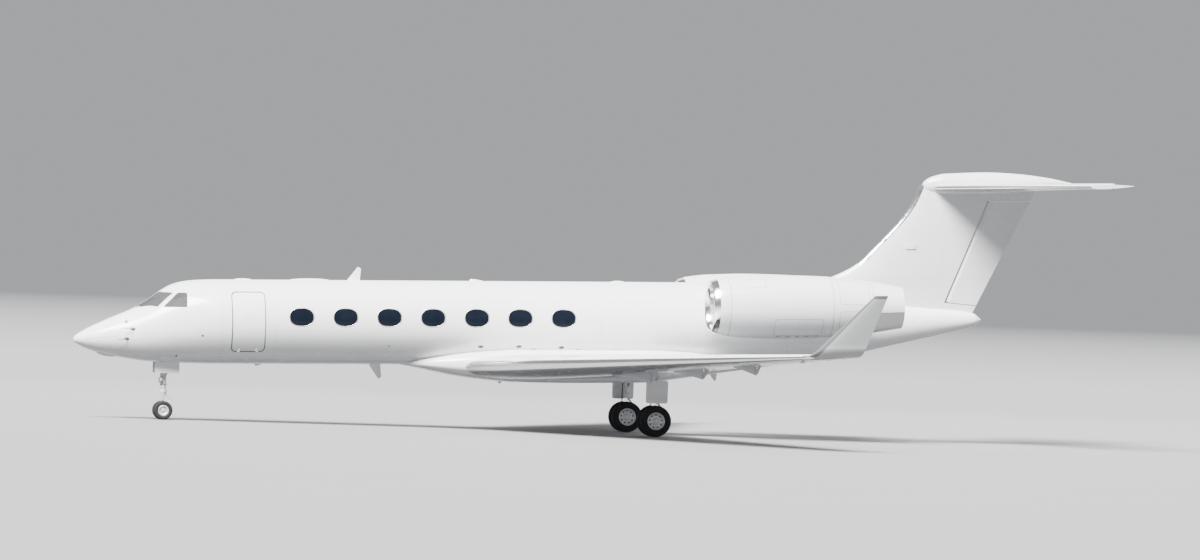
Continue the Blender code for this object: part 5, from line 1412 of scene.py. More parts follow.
def fin_half(station, level, steps=FINE_STEPS):
    """Half of the fin's thickness at a station and level."""
    return read_line(fin_ring(level, steps)[: len(steps)][::-1], station)


def fin_skin(station, level, side, lift=0.0):
    """A point on the fin's side at a station and level, lifted off it sideways."""
    return Vector((station, side * (fin_half(station, level) + lift), level))


def fin_rule(centre, normal):
    """Bare metal along the swept leading edge."""
    nose, chord = fin_values(centre.z)
    return 1 if centre.z > FIN_METAL_FROM and centre.x - nose < FIN_METAL_SHARE * chord else 0


def fin_and_rudder():
    """The fin with room for its rudder, and the rudder on its slanted hinge."""
    levels = [0.25 + 0.05 * k for k in range(38)] + [2.12 + 0.193 * k for k in range(1, 11)]
    rings = [fin_ring(z) for z in levels]
    foot, head = RUDDER_FOOT, RUDDER_HEAD
    along = (head - foot).normalized()
    radii = [fin_half(point.x, point.z, COARSE_STEPS) for point in (foot, head)]
    outline = [(foot.x, foot.z), (foot.x + 1.3, foot.z - 0.12), (head.x + 1.6, head.z), (head.x, head.z)]
    block = side_prism([(x + SURFACE_INSET, z) for x, z in outline], -0.5, 0.5)
    panel = boolean(loft(rings), [block], "INTERSECT")
    extra = bmesh.new()
    nose = [radius - SURFACE_INSET for radius in radii]
    add_rod(extra, foot + along * 0.018, head - along * SURFACE_INSET, *nose, 40, edge=0.0)
    add_rod(extra, foot + along * 0.05, foot - along * 0.12, HINGE_PIN)
    add_rod(extra, head - along * 0.05, head + along * 0.04, HINGE_PIN)
    piece("surface_rudder", joined(panel, extra), [TAIL_PAINT], "rudder", ["rudder"])
    front = max(radii) + PANEL_GAP
    room = [
        (foot.x - front - 0.03, foot.z - PANEL_GAP), (foot.x, foot.z - 0.022), (foot.x + 2.0, foot.z - 0.207),
        (head.x + 2.0, head.z + 0.065), (head.x + 0.04, head.z + PANEL_GAP * 1.5),
        (head.x - front * along.z, head.z + front * along.x + PANEL_GAP), (head.x - front - 0.03, head.z),
    ]
    bore = bmesh.new()
    add_rod(bore, foot + along * 0.05, foot - along * 0.20, 0.0145)
    body = boolean(loft(rings), [side_prism(room, -0.5, 0.5), bore])
    paint_faces(body, fin_rule)
    piece("fin_scoops", fin_scoops(), [TAIL_PAINT, DARK_SEAL_AND_SHADE])
    piece("fin_edge_joints", fin_edge_bands(), [SEAL])
    piece("skin_fin", body, [TAIL_PAINT, POLISHED], nodes=["fin"])
    piece("skin_bullet", bullet(), [TAIL_PAINT])


def fin_scoops():
    """A small scoop on each side of the fin, its mouth closed by a dark face that is painted shade."""
    scoop = bmesh.new()
    for side in (-1, 1):
        rows = []
        for station, proud in ((23.97, 0.002), (24.02, 0.030), (24.24, 0.034), (24.30, 0.030)):
            section = ((2.33, -0.01), (2.33, proud), (2.20, proud * 0.8), (2.19, -0.01))
            rows.append([fin_skin(station, level, side, lift) for level, lift in section])
        add_loft(scoop, rows)
        # The mouth face is painted shade of the scoop's inside.
        section = ((2.32, 0.004), (2.32, 0.026), (2.21, 0.021), (2.21, 0.004))
        mouth = [fin_skin(24.302, level, side, lift) for level, lift in section]
        add_loft(scoop, [[p - Vector((0.02, 0, 0)) for p in mouth], mouth], paint=1)
    return scoop


def fin_edge_bands():
    """Joints across the fin's bare leading edge."""
    bands = bmesh.new()
    section = ((-0.035, -0.001), (-0.035, 0.0025), (0.035, 0.0025), (0.035, -0.001))
    for level in (2.45, 3.40):
        rows = []
        for f in range(-12, 13):
            side = -1 if f < 0 else 1
            station = smooth(FIN_NOSE, level) + (abs(f) / 12) ** 2 * 0.11
            rows.append([fin_skin(station + 0.2 * w, level + w, side, lift) for w, lift in section])
        add_loft(bands, rows)
    return bands


def bullet():
    """The long fairing where the fin meets the tailplane."""
    rings = []
    tables = [[(row[0], row[k]) for row in BULLET] for k in (1, 2, 3)]
    for k in range(61):
        station = BULLET[0][0] + (BULLET[-1][0] - BULLET[0][0]) * (k / 60) ** 1.35
        level, tall, wide = [smooth(table, station) for table in tables]
        rings.append([(station, wide * math.sin(a), level - 0.012 + tall * math.cos(a)) for a in turns(48)])
    return loft(rings)


def tailplane_values(span):
    """Nose station, chord and level of the tailplane at a span."""
    return [a + b * abs(span) for a, b in (TAILPLANE_NOSE, TAILPLANE_CHORD, TAILPLANE_LEVEL)]


def tailplane_ring(span, steps=FINE_STEPS):
    """The tailplane's section at one place along the span."""
    nose, chord, level = tailplane_values(span)
    section = foil(chord, TAILPLANE_THICKNESS, 0.0, steps)
    return [(nose + x, span, level + z - x * math.sin(TAILPLANE_TILT)) for x, z in section]


def tailplane_rule(centre, normal):
    """Bare metal along the leading edge, and painted shade, a dark grey copy of the paint, on faces that look
    down.
    """
    nose, chord = tailplane_values(centre.y)[:2]
    if centre.x - nose < EDGE_SHARE * chord:
        return 1
    return 2 if normal.z < -0.5 else 0


def tailplane():
    """The one-piece tailplane and its elevators, whose round noses are as thick outboard as inboard."""
    def full_body():
        return loft([tailplane_ring(span) for span in (-TAILPLANE_HALF_SPAN, 0.0, TAILPLANE_HALF_SPAN)])

    cutters = []
    for side, hand in HANDS:
        points, radii = [], []
        for span in ELEVATOR_SPAN:
            nose, chord, level = tailplane_values(span)
            section = foil(chord, TAILPLANE_THICKNESS, 0.0, COARSE_STEPS)
            x = ELEVATOR_HINGE * chord
            radii.append(read_line(section[: len(COARSE_STEPS)][::-1], x))
            points.append(Vector((nose + x, side * span, level - x * math.sin(TAILPLANE_TILT))))
        surface = Surface(*points, ELEVATOR_LENGTHS, (max(radii), max(radii)))
        moving_surface("elevator_" + hand, surface, full_body(), cutters, [STAB_PAINT, UNDERSIDE_PAINTED_SHADE], 0.4)
    body = boolean(full_body(), cutters)
    paint_faces(body, tailplane_rule)
    piece("skin_tailplane", body, [STAB_PAINT, POLISHED, UNDERSIDE_PAINTED_SHADE], nodes=["tailplane"])


# Engines.
def engine_centre(side):
    """The middle of an engine's axis."""
    return Vector((0, side * ENGINE_SPAN, ENGINE_LEVEL))


def cowl_breadth(station):
    """How much narrower than round the cowl is across the aircraft."""
    first, last = [min(max(run / COWL_FLAT_EASE, 0), 1)
                   for run in (station - COWL_FLAT_RUN[0], COWL_FLAT_RUN[1] - station)]
    return 1 - COWL_FLAT * first * last


def cowl_run(table, count):
    """Points along a cowl outline, closer together at its front."""
    front, back = table[0][0], table[-1][0]
    stations = [front + (back - front) * (k / count) ** 1.2 for k in range(count + 1)]
    return [(station, smooth(table, station)) for station in stations]


def cowl_point(centre, station, radius, breadth, angle):
    """A point on a cowl, by its angle from the top."""
    return centre + Vector((station, radius * breadth * math.sin(angle), radius * math.cos(angle)))


def nacelle(side, hand):
    """Cowl, lip and duct in one shell, with the bare nozzle behind, whose metal outside runs forward on the
    lower side only as painted shade.
    """
    centre = engine_centre(side)
    outer = cowl_run(NACELLE_OUTER, 48)
    inner = cowl_run(NACELLE_INNER, 40)
    lip = [tuple(p) for p in curve([inner[0], *NACELLE_LIP[::-1], outer[0]], 5)][1:-1]
    rings = []
    for i, (station, radius) in enumerate(inner[::-1] + lip + outer):
        breadth = cowl_breadth(station) if i >= len(inner) + len(lip) else 1.0
        rings.append([cowl_point(centre, station, radius, breadth, angle) for angle in turns(96)])
    body = loft(rings, closed=True)

    def rule(c, n):
        radius = math.hypot(c.y - centre.y, c.z - centre.z)
        outside = n.y * (c.y - centre.y) + n.z * (c.z - centre.z) > 0
        if c.x < 17.97 or (not outside and c.x < 18.06):
            return 1
        # Outside, the dark nozzle metal covers the aft cowl below a slanted line only: bare nozzle at the
        # very end, and painted shade of the downward-facing lower reverser door ahead of it.
        if outside:
            return 2 if c.x > NOZZLE_START + 0.25 * (0.38 - c.z) and c.z < 0.40 else 0
        if c.x < FAN_CASE_END:
            return 3
        return 2 if radius < 0.7 else 0

    paint_faces(body, rule)
    piece("skin_nacelle_" + hand, body, [COWL_PAINT, POLISHED, NOZZLE, LINER], nodes=["nacelle_" + hand],
          sharp=50)
    piece("cowl_joints_" + hand, cowl_joints(centre, side), [SEAL])


# Cowl doors as (front, back, top, bottom), the last two in degrees from the crown, outboard.
COWL_DOORS = ((21.42, 22.30, 22, 84), (21.42, 22.30, 98, 158), (19.55, 20.95, 112, 152), (18.5, 19.3, 28, 52))
DEGREES_PER_METRE = 55


def cowl_joints(centre, side):
    """The cowl's ring joints, the outlines of its doors and its row of latches."""
    details = bmesh.new()
    ring = [math.radians(3.75 * k) for k in range(96)]
    for station in (18.28, 21.23, NOZZLE_START):
        cowl_strip(details, centre, [(station, a) for a in ring])
    for start, end, top, bottom in COWL_DOORS:
        low, high = top / DEGREES_PER_METRE, bottom / DEGREES_PER_METRE
        outline = dense(rounded([(start, low), (end, low), (end, high), (start, high)], 0.10), 0.06)
        path = [(s, math.radians(side * a * DEGREES_PER_METRE)) for s, a in outline]
        cowl_strip(details, centre, path, 0.004)
    for k in range(5):
        latch = 19.70 + 0.28 * k
        corners = ((-0.05, 156), (0.05, 156), (0.05, 157), (-0.05, 157))
        cowl_strip(details, centre, [(latch + s, math.radians(side * a)) for s, a in corners], 0.012)
    return details


def cowl_strip(bm, centre, path, half=0.005):
    """A closed thin strip lying on the cowl through (station, angle) points."""
    points = [cowl_point(centre, station, smooth(NACELLE_OUTER, station), cowl_breadth(station), angle)
              for station, angle in path]
    rows = []
    for i, point in enumerate(points):
        along = (points[(i + 1) % len(points)] - points[i - 1]).normalized()
        out = Vector((0, point.y - centre.y, point.z - centre.z)).normalized()
        across = along.cross(out).normalized()
        section = ((-1, -0.002), (-1, 0.001), (1, 0.001), (1, -0.002))
        rows.append([point + across * w * half + out * h for w, h in section])
    add_loft(bm, rows, closed=True)


# The core's outline as (run aft of its front, radius).
CORE_GAP = 0.13
CORE = (
    (0.0, 0.20), (0.0, 0.29), (0.04, 0.302), (0.5, 0.36), (1.4, 0.385), (2.2, 0.40), (2.7, 0.375),
    (3.1, 0.34), (3.5, 0.285), (3.9, 0.22), (4.12, 0.150), (4.20, 0.118), (4.24, 0.075), (4.25, 0.012),
)


def engine(side, hand):
    """Core, exhaust cone, struts and guide vanes."""
    centre = engine_centre(side)
    front = FAN_STATION + CORE_GAP
    core = bmesh.new()
    add_turned(core, [(front + run, radius) for run, radius in CORE], centre, (1, 0, 0), 64)
    for k in range(6):
        angle = 2 * math.pi * (k + 0.5) / 6
        add_vane(core, centre, front + 0.55, angle, 0.33, 0.655, 0.45, 0.02)
    for angle in turns(36):
        add_vane(core, centre, front + 0.20, angle, 0.30, 0.640, 0.14, 0.006)
    for face in core.faces:
        face.material_index = 1 if face.calc_center_median().x > front + 2.9 else 0
    piece("engine_core_" + hand, core, [DARK_METAL, NOZZLE], nodes=["engine_" + hand],
          sharp=40)


def add_vane(bm, centre, station, angle, low, high, chord, thick):
    """A flat-sided radial vane, sharp at both edges."""
    out = Vector((0.0, math.sin(angle), math.cos(angle)))
    across = Vector((0.0, math.cos(angle), -math.sin(angle)))
    section = ((0.0, 0.0), (0.15, 0.8), (0.5, 1.0), (1.0, -0.0), (0.5, -1.0), (0.15, -0.8))
    rows = []
    for radius in (low, high):
        rows.append([centre + Vector((station + f * chord, 0, 0)) + out * radius + across * (thick * h)
                     for f, h in section])
    add_loft(bm, rows)


# A fan blade's section as (share of the chord, share of half the thickness).
BLADE_SECTION = (
    (-0.5, 0.0), (-0.42, 0.45), (-0.2, 0.9), (0.1, 1.0), (0.35, 0.55), (0.5, 0.0), (0.35, -0.35),
    (0.1, -0.6), (-0.2, -0.55), (-0.42, -0.35),
)
SPINNER_CURVE = ((-0.34, 0.004), (-0.325, 0.035), (-0.26, 0.085), (-0.12, 0.155), (0.0, 0.19), (0.129, 0.21))
BLADE_FOOT = 0.15
BLADE_TIP_GAP = 0.008
BLADE_STEPS = 10


def blade_rings():
    """Sections of one twisted blade standing up from the fan's middle."""
    rings = []
    for i in range(BLADE_STEPS + 1):
        part = i / BLADE_STEPS
        radius = BLADE_FOOT + (FAN_RADIUS - BLADE_TIP_GAP - BLADE_FOOT) * part
        stagger = math.radians(25 + 33 * part)
        chord = 0.17 + 0.045 * math.sin(math.pi * part * 0.8) - 0.01 * part
        thick = 0.018 * (1 - part) + 0.006 * part
        sweep = -0.02 * math.sin(math.pi * part)
        along = Vector((math.cos(stagger), math.sin(stagger), 0))
        across = Vector((-math.sin(stagger), math.cos(stagger), 0))
        ring = []
        for f, h in BLADE_SECTION:
            bend = 0.10 * chord * (0.25 - f * f)
            side = across * (h * thick / 2 + bend)
            ring.append(along * (f * chord + sweep) + side + Vector((0, 0, radius)))
        rings.append(ring)
    return rings


def fan(side, hand):
    """Spinner and wide twisted blades with curved leading edges."""
    centre = engine_centre(side) + Vector((FAN_STATION, 0, 0))
    wheel = bmesh.new()
    cone = [(p.x, p.y) for p in curve(SPINNER_CURVE, 5)]
    add_turned(wheel, cone, centre, (1, 0, 0), 48, paint=1)
    blade = blade_rings()
    for angle in turns(FAN_BLADES):
        turn = Matrix.Rotation(angle, 3, "X")
        add_loft(wheel, [[turn @ point + centre for point in ring] for ring in blade])
    piece("fan_wheel_" + hand, wheel, [BLADE_METAL, SPINNER], "fan_" + hand, ["fan_" + hand],
          sharp=45)


PYLON_SPANS = (0.75, 1.70)
PYLON_NOSE = (19.55, -0.15)
PYLON_LEVEL = (0.42, 0.08)
PYLON_CHORD = 3.1
PYLON_THICKNESS = 0.075
PYLON_ROOT_SPREAD = 0.20


def pylon(side, hand):
    """The stub between the fuselage and the engine, flared where it leaves the fuselage."""
    rings = []
    for k in range(9):
        part = k / 8
        root = (1 - part) ** 3
        spread = PYLON_ROOT_SPREAD * root
        span = PYLON_SPANS[0] + (PYLON_SPANS[1] - PYLON_SPANS[0]) * part
        nose, level = [a + b * part for a, b in (PYLON_NOSE, PYLON_LEVEL)]
        section = foil(PYLON_CHORD + spread, PYLON_THICKNESS, 0.0)
        rings.append([(nose - spread + x, side * span, level + z * (1 + 0.30 * root)) for x, z in section])
    piece("skin_pylon_" + hand, loft(rings), [COWL_PAINT], nodes=["pylon_" + hand])


# Landing gear, on the ground.
def middle_of(node):
    """The middle of a solid's box."""
    low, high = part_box(node)
    return (Vector(low) + Vector(high)) / 2


def add_bolts(bm, centre, way, count, shift, reach, start, length, radius, sides, paint):
    """A circle of round or six-sided bosses on a wheel's outer face."""
    for angle in turns(count):
        out = Vector((math.sin(angle + shift), 0, math.cos(angle + shift)))
        foot = Vector(centre) + out * reach + Vector((0, way * start, 0))
        add_rod(bm, foot, foot + Vector((0, way * length, 0)), radius, sides=sides, paint=paint)


def add_wheel(bm, centre, way, radius, width, holes):
    """A rim with its dished web, dark bosses between bolts that paint the shade of its openings, and a hub
    cap.
    """
    rim = radius * RIM_SHARE - 0.0015
    half = width / 2
    profile = [
        (half * 0.80, rim), (half * 0.86, rim + 0.002), (half * 0.90, rim - 0.006),
        (half * 0.86, rim - 0.022), (half * 0.60, rim - 0.034), (half * 0.42, rim - 0.06),
        (half * 0.36, rim * 0.55), (half * 0.44, rim * 0.36), (half * 0.62, rim * 0.30),
        (half * 0.62, 0.02), (-half * 0.2, 0.02), (-half * 0.2, rim * 0.5),
        (-half * 0.8, rim - 0.03), (-half * 0.8, rim),
    ]
    add_turned(bm, [(a * way, r) for a, r in profile], centre, (0, 1, 0), 64, closed=True)
    web = half * 0.30
    # Dark bosses where the web's openings are: painted shade.
    add_bolts(bm, centre, way, holes, 0.0, rim * 0.70, web, half * 0.16, rim * 0.10, 16, 1)
    add_bolts(bm, centre, way, holes, math.pi / holes, rim * 0.47, web, half * 0.22, 0.008, 6, 2)
    cap = Vector(centre) + Vector((0, way * half * 0.60, 0))
    add_rod(bm, cap, cap + Vector((0, way * half * 0.14, 0)), rim * 0.27, rim * 0.22, 32, edge=0.2)


# A tyre's side wall as (share of half the width, share of the radius), from the rim outwards.
TYRE_WALL = ((0.95, 0.66), (1.0, 0.76), (0.965, 0.87), (0.84, 0.945), (0.62, 0.985))
TREAD_GROOVES = (-0.42, -0.14, 0.14, 0.42)
GROOVE_DEPTH = 0.010


def add_tyre(bm, centre, radius, width):
    """A tyre with round shoulders and four tread grooves."""
    seat = radius * RIM_SHARE + 0.0004
    half = width / 2
    wall = [(-half * 0.80, seat)] + [(-half * a, radius * b) for a, b in TYRE_WALL]
    left = [(p.x, p.y) for p in curve(wall, 4)]
    tread = []
    for groove in TREAD_GROOVES:
        middle = groove * half
        crown = radius * (1 - 0.012 * (groove / 0.6) ** 2)
        wide = 0.030 * half + 0.001
        floor = crown - GROOVE_DEPTH
        tread += [(middle - wide, crown), (middle - wide * 0.7, floor), (middle + wide * 0.7, floor),
                  (middle + wide, crown)]
    right = [(-a, r) for a, r in left[::-1]]
    add_turned(bm, left + tread + right, centre, (0, 1, 0), 96, closed=True)


def tyre_piece(node, body, radius, width):
    """The tyres of one solid, in rubber."""
    bm = bmesh.new()
    add_tyre(bm, middle_of(node), radius, width)
    piece("rubber_" + node, bm, [RUBBER], body, [node], GROUND, sharp=40)


def wheel_pair(node, radius, width, half_track, holes):
    """Two wheels on their live axle."""
    bm = bmesh.new()
    centre = middle_of(node)
    end = Vector((0, half_track - 0.03, 0))
    add_rod(bm, centre - end, centre + end, 0.0445, paint=2, sides=32)
    for way in (-1, 1):
        add_wheel(bm, centre + Vector((0, way * half_track, 0)), way, radius, width, holes)
    piece("rims_" + node, bm, [RIM_PAINT, DARK_SEAL_AND_SHADE, STEEL], node, [node], GROUND, sharp=35)


def barrel(foot, top, radius, collar, band):
    """An outer cylinder as (level, radius) points: a collar at its foot and a raised band above."""
    level, lip = foot
    low, high, swell = band
    end, end_radius, ease = top
    return [
        (level, lip), (level + 0.015, collar), (level + 0.10, collar), (level + 0.12, radius),
        (low, radius), (low + 0.02, swell), (high - 0.02, swell), (high, radius),
        (end - ease, radius), (end, end_radius),
    ]


def add_torque_links(bm, x, y, levels, knee, half, sizes, paint):
    """Two pairs of links that meet at a pin behind the leg."""
    knee = Vector(knee)
    for way in (-1, 1):
        lean = Vector((0, way * half, 0))
        for level in levels:
            add_rod(bm, Vector((x + 0.02, y, level)) + lean, knee + lean * 0.45, *sizes[:2])
    pin = Vector((0, sizes[2], 0))
    add_rod(bm, knee - pin, knee + pin, sizes[3], paint=paint)


def add_clamps(bm, x, y, levels, inner, outer, half, paint):
    """Thin rings round a leg that hold its hose."""
    for level in levels:
        rim = half - 0.002
        ring = [(level - half, inner), (level - rim, outer), (level + rim, outer), (level + half, inner)]
        add_upright(bm, ring, x, y, 40, paint=paint)


NOSE_TUBE_END = 0.86
NOSE_LAMP_LEVEL = 1.12


def nose_gear():
    """The nose leg with its braces, lamps and hose, the steered fork, and the wheels."""
    x, axle = middle_of("nose_wheels").xz
    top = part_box("nose_gear_strut")[1][2]
    piece("nose_leg", nose_leg(x, top), [GEAR_PAINT, STEEL, HOSE, CLEAR_LENS], nodes=["nose_gear_strut"],
          place=GROUND, sharp=40)
    piece("nose_fork", nose_fork(x, axle), [GEAR_PAINT, CHROME, STEEL], "nose_steering", ["nose_gear_fork"],
          GROUND, sharp=40)
    wheel_pair("nose_wheels", *NOSE_WHEEL, NOSE_HALF_TRACK, 8)
    for _, hand in HANDS:
        tyre_piece("nose_tyre_" + hand, "nose_wheels", *NOSE_WHEEL)


def nose_leg(x, top):
    """The nose gear leg with its braces."""
    leg = bmesh.new()
    outline = barrel((NOSE_TUBE_END, 0.075), (top, 0.070, 0.02), 0.078, 0.086, (1.25, 1.42, 0.084))
    add_upright(leg, outline, x, 0, 48)
    add_rod(leg, (x, 0, 1.12), (x + 0.30, 0, top - 0.10), 0.033)
    for way in (-1, 1):
        add_rod(leg, (x + 0.02, 0, top - 0.08), (x + 0.02, way * 0.20, top - 0.08), 0.029)
        add_rod(leg, (x + 0.10, way * 0.09, 1.02), (x - 0.02, way * 0.09, 1.02), 0.028, paint=1)
        lamp = Vector((x - 0.115, way * 0.115, NOSE_LAMP_LEVEL))
        shell = [(0.085, 0.02), (0.07, 0.045), (0.02, 0.068), (0.0, 0.072), (0.0, 0.062)]
        add_turned(leg, shell, lamp, (1, 0, 0), 32)
        add_turned(leg, [(0.004, 0.062), (-0.004, 0.045), (-0.008, 0.004)], lamp, (1, 0, 0), 32, paint=3)
        add_rod(leg, lamp + Vector((0.06, 0, 0)), (x - 0.02, way * 0.05, NOSE_LAMP_LEVEL), 0.014)
    line = [(x - 0.066, 0.040, 0.955), (x - 0.080, 0.049, 1.00), (x - 0.080, 0.049, 1.20),
            (x - 0.083, 0.051, 1.34), (x - 0.078, 0.048, 1.50), (x - 0.060, 0.040, top - 0.05)]
    add_tube(leg, curve(line, 6), 0.008, paint=2)
    add_clamps(leg, x, 0, (1.02, 1.20, 1.45), 0.077, 0.1035, 0.010, 1)
    return leg


def nose_fork(x, axle):
    """The sliding tube with its steering collar, axle block and torque links."""
    fork = bmesh.new()
    end = NOSE_TUBE_END
    tube = [(axle + 0.05, 0.048), (axle + 0.06, 0.052), (end - 0.10, 0.052), (end - 0.1, 0.045)]
    collar = [(end - 0.11, 0.055), (end - 0.10, 0.100), (end - 0.08, 0.105), (end - 0.02, 0.105),
              (end - 0.002, 0.098), (end - 0.002, 0.05)]
    block = [(axle - 0.045, 0.02), (axle - 0.03, 0.060), (axle + 0.06, 0.062), (axle + 0.08, 0.055)]
    add_upright(fork, tube, x, 0, 40, paint=1)
    add_upright(fork, collar, x, 0, 48)
    add_upright(fork, block, x, 0, 40)
    add_rod(fork, (x, -0.070, axle), (x, 0.070, axle), NOSE_AXLE_BOSS, sides=32)
    knee = (x + 0.24, 0, (axle + end) / 2)
    sizes = (0.017, 0.013, 0.034, 0.014)
    add_torque_links(fork, x, 0, (end - 0.06, axle + 0.08), knee, 0.034, sizes, 2)
    return fork


def add_door(bm, outline, faces, point):
    """A thin door with eased edges, its faces given as (inset, depth)."""
    add_loft(bm, [[point(a, depth, b) for a, b in shrunk(outline, inset)] for inset, depth in faces])


def nose_gear_doors():
    """Two upright doors beside the nose leg, with ribs inside."""
    outline = rounded([(2.29, -1.46), (2.99, -1.46), (2.99, -1.135), (2.29, -1.135)], 0.06, 6)
    faces = ((0.004, 0.2595), (0.0, 0.2560), (0.0, 0.2400), (0.004, 0.2360))
    for side, hand in HANDS:
        door = bmesh.new()
        add_door(door, outline, faces, lambda a, depth, b: (a, side * depth, b))
        inside = Matrix.Translation((0, side * 0.2355 - (0.012 if side > 0 else 0.0), 0))
        for station in (2.42, 2.64, 2.86):
            low, high = (station - 0.012, 0.0, -1.42), (station + 0.012, 0.012, -1.18)
            add_block(door, low, high, 0.003, 1, inside)
        piece("nose_bay_door_" + hand, door, [SKIN, BAY], nodes=["nose_gear_door_" + hand])


MAIN_TUBE_END = 0.98
MAIN_LEG_TOP = 1.85
BRAKE_DISCS = 4


def main_gear(side, hand):
    """One main leg with its brace, links and brakes, its wheels, tyres and leg door."""
    body = "main_wheels_" + hand
    x, y, axle = middle_of(body)
    piece("main_leg_" + hand, main_leg(x, y, axle, side), [GEAR_PAINT, CHROME, HOSE, STEEL, BRAKE],
          nodes=["main_gear_strut_" + hand], place=GROUND, sharp=40)
    wheel_pair(body, *MAIN_WHEEL, MAIN_HALF_TRACK, 9)
    for place in ("outer", "inner"):
        tyre_piece("main_tyre_" + hand + "_" + place, body, *MAIN_WHEEL)
    outer = y + side * 0.42
    outline = rounded([(x - 0.33, 0.95), (x + 0.30, 0.95), (x + 0.30, 1.60), (x - 0.33, 1.60)], 0.08, 6)
    faces = ((0.004, 0.0), (0.0, 0.004), (0.0, 0.021), (0.004, 0.025))
    door = bmesh.new()
    add_door(door, outline, faces, lambda a, depth, b: (a, outer - side * depth, b))
    for level in (1.10, 1.45):
        add_rod(door, (x, y + side * 0.1, level), (x, outer - side * 0.01, level), 0.020)
        add_rod(door, (x, outer - side * 0.06, level), (x, outer - side * 0.022, level), 0.034, paint=1)
    piece("leg_door_" + hand, door, [BELLY_PAINT, STEEL], nodes=["main_gear_door_" + hand],
          place=GROUND)


def main_leg(x, y, axle, side):
    """One main gear leg with its brace and links."""
    leg = bmesh.new()
    end = MAIN_TUBE_END
    outline = barrel((end, 0.090), (MAIN_LEG_TOP, 0.09, 0.01), 0.096, 0.106, (1.42, 1.56, 0.104))
    add_upright(leg, outline, x, y, 56)
    tube = [(axle + 0.07, 0.060), (axle + 0.08, 0.069), (end + 0.01, 0.069), (end + 0.02, 0.05)]
    block = [(axle - 0.07, 0.03), (axle - 0.045, 0.078), (axle + 0.07, 0.082), (axle + 0.12, 0.074),
             (axle + 0.12, 0.06)]
    add_upright(leg, tube, x, y, 48, paint=1)
    add_upright(leg, block, x, y, 48)
    add_rod(leg, (x, y - 0.095, axle), (x, y + 0.095, axle), MAIN_AXLE_BOSS, sides=40)
    foot, head = Vector((x, y, end + 0.14)), Vector((x, y - side * 0.80, 1.76))
    add_rod(leg, foot, head, 0.040, 0.036, 28)
    for low, high, radius, paint in ((0.36, 0.62, 0.041, 3), (0.62, 0.66, 0.042, 0)):
        add_rod(leg, foot.lerp(head, low), foot.lerp(head, high), radius, sides=28, paint=paint)
    knee = (x + 0.30, y, (axle + end) / 2 + 0.02)
    sizes = (0.022, 0.016, 0.042, 0.018)
    add_torque_links(leg, x, y, (end + 0.04, axle + 0.08), knee, 0.045, sizes, 3)
    disc = [(0, 0.09), (0, 0.148), (0.008, 0.148), (0.008, 0.09)]
    for way in (-1, 1):
        for k in range(BRAKE_DISCS):
            start = y + way * (0.098 + 0.011 * k)
            centre = (x, min(start, start + way * 0.008), axle)
            add_turned(leg, disc, centre, (0, 1, 0), 40, closed=True, paint=4)
        line = [(0.03, 0.04, 1.66), (0.095, 0.05, 1.58), (0.105, 0.055, 1.30), (0.108, 0.06, 1.02),
                (0.115, 0.075, 0.78), (0.10, 0.09, 0.62), (0.04, 0.10, 0.53)]
        add_tube(leg, curve([(x - a, y + way * b, c) for a, b, c in line], 6), 0.009, paint=2)
    add_clamps(leg, x, y, (1.12, 1.30, 1.49), 0.095, 0.1185, 0.012, 3)
    return leg


# Cockpit.
DISPLAY_COUNT = 4
DISPLAY_PITCH = 0.18
DISPLAY_LEAN = math.radians(-15)
KNOB_COUNT = 9
KNOB_PITCH = 0.08


def cockpit_interior():
    """The instrument panel with its pedestal, displays and knobs."""
    panel = bmesh.new()
    foot = DECK_LEVEL + DECK_GAP
    side = [(2.40, foot), (2.72, foot), (2.72, -0.45), (2.62, -0.35), (2.50, 0.10), (2.60, 0.20),
            (2.58, 0.25), (2.25, 0.24), (2.22, 0.10), (2.36, -0.30)]
    add_prism(panel, rounded(side, 0.02, 3), lambda p: (p[0], -0.38, p[1]), lambda p: (p[0], 0.38, p[1]))
    tilt = Matrix.Translation((2.565, 0, -0.125)) @ Matrix.Rotation(DISPLAY_LEAN, 4, "Y")
    for index in range(DISPLAY_COUNT):
        middle = (index - (DISPLAY_COUNT - 1) / 2) * DISPLAY_PITCH
        add_block(panel, (-0.01, middle - 0.082, -0.11), (0.012, middle + 0.082, 0.12), 0.004, 0, tilt)
        add_block(panel, (0.010, middle - 0.070, -0.095), (0.0145, middle + 0.070, 0.105), 0.001, 1, tilt)
    for index in range(KNOB_COUNT):
        start = Vector((2.60, (index - (KNOB_COUNT - 1) / 2) * KNOB_PITCH, 0.175))
        add_rod(panel, start, start + Vector((0.022, 0, 0.004)), 0.011, 0.009, 16, paint=2)
    for row in range(4):
        for column in range(3):
            y, z = -0.12 + 0.12 * column, -0.50 - 0.065 * row
            add_rod(panel, (2.716, y, z), (2.734, y, z), 0.014, 0.012, 16, paint=2)
    piece("flight_panel", panel, [PANEL, SCREEN, FRAME_METAL], nodes=["instrument_panel"])


SEAM_PLACE = 0.74
CHANNEL_SPREAD = 0.62


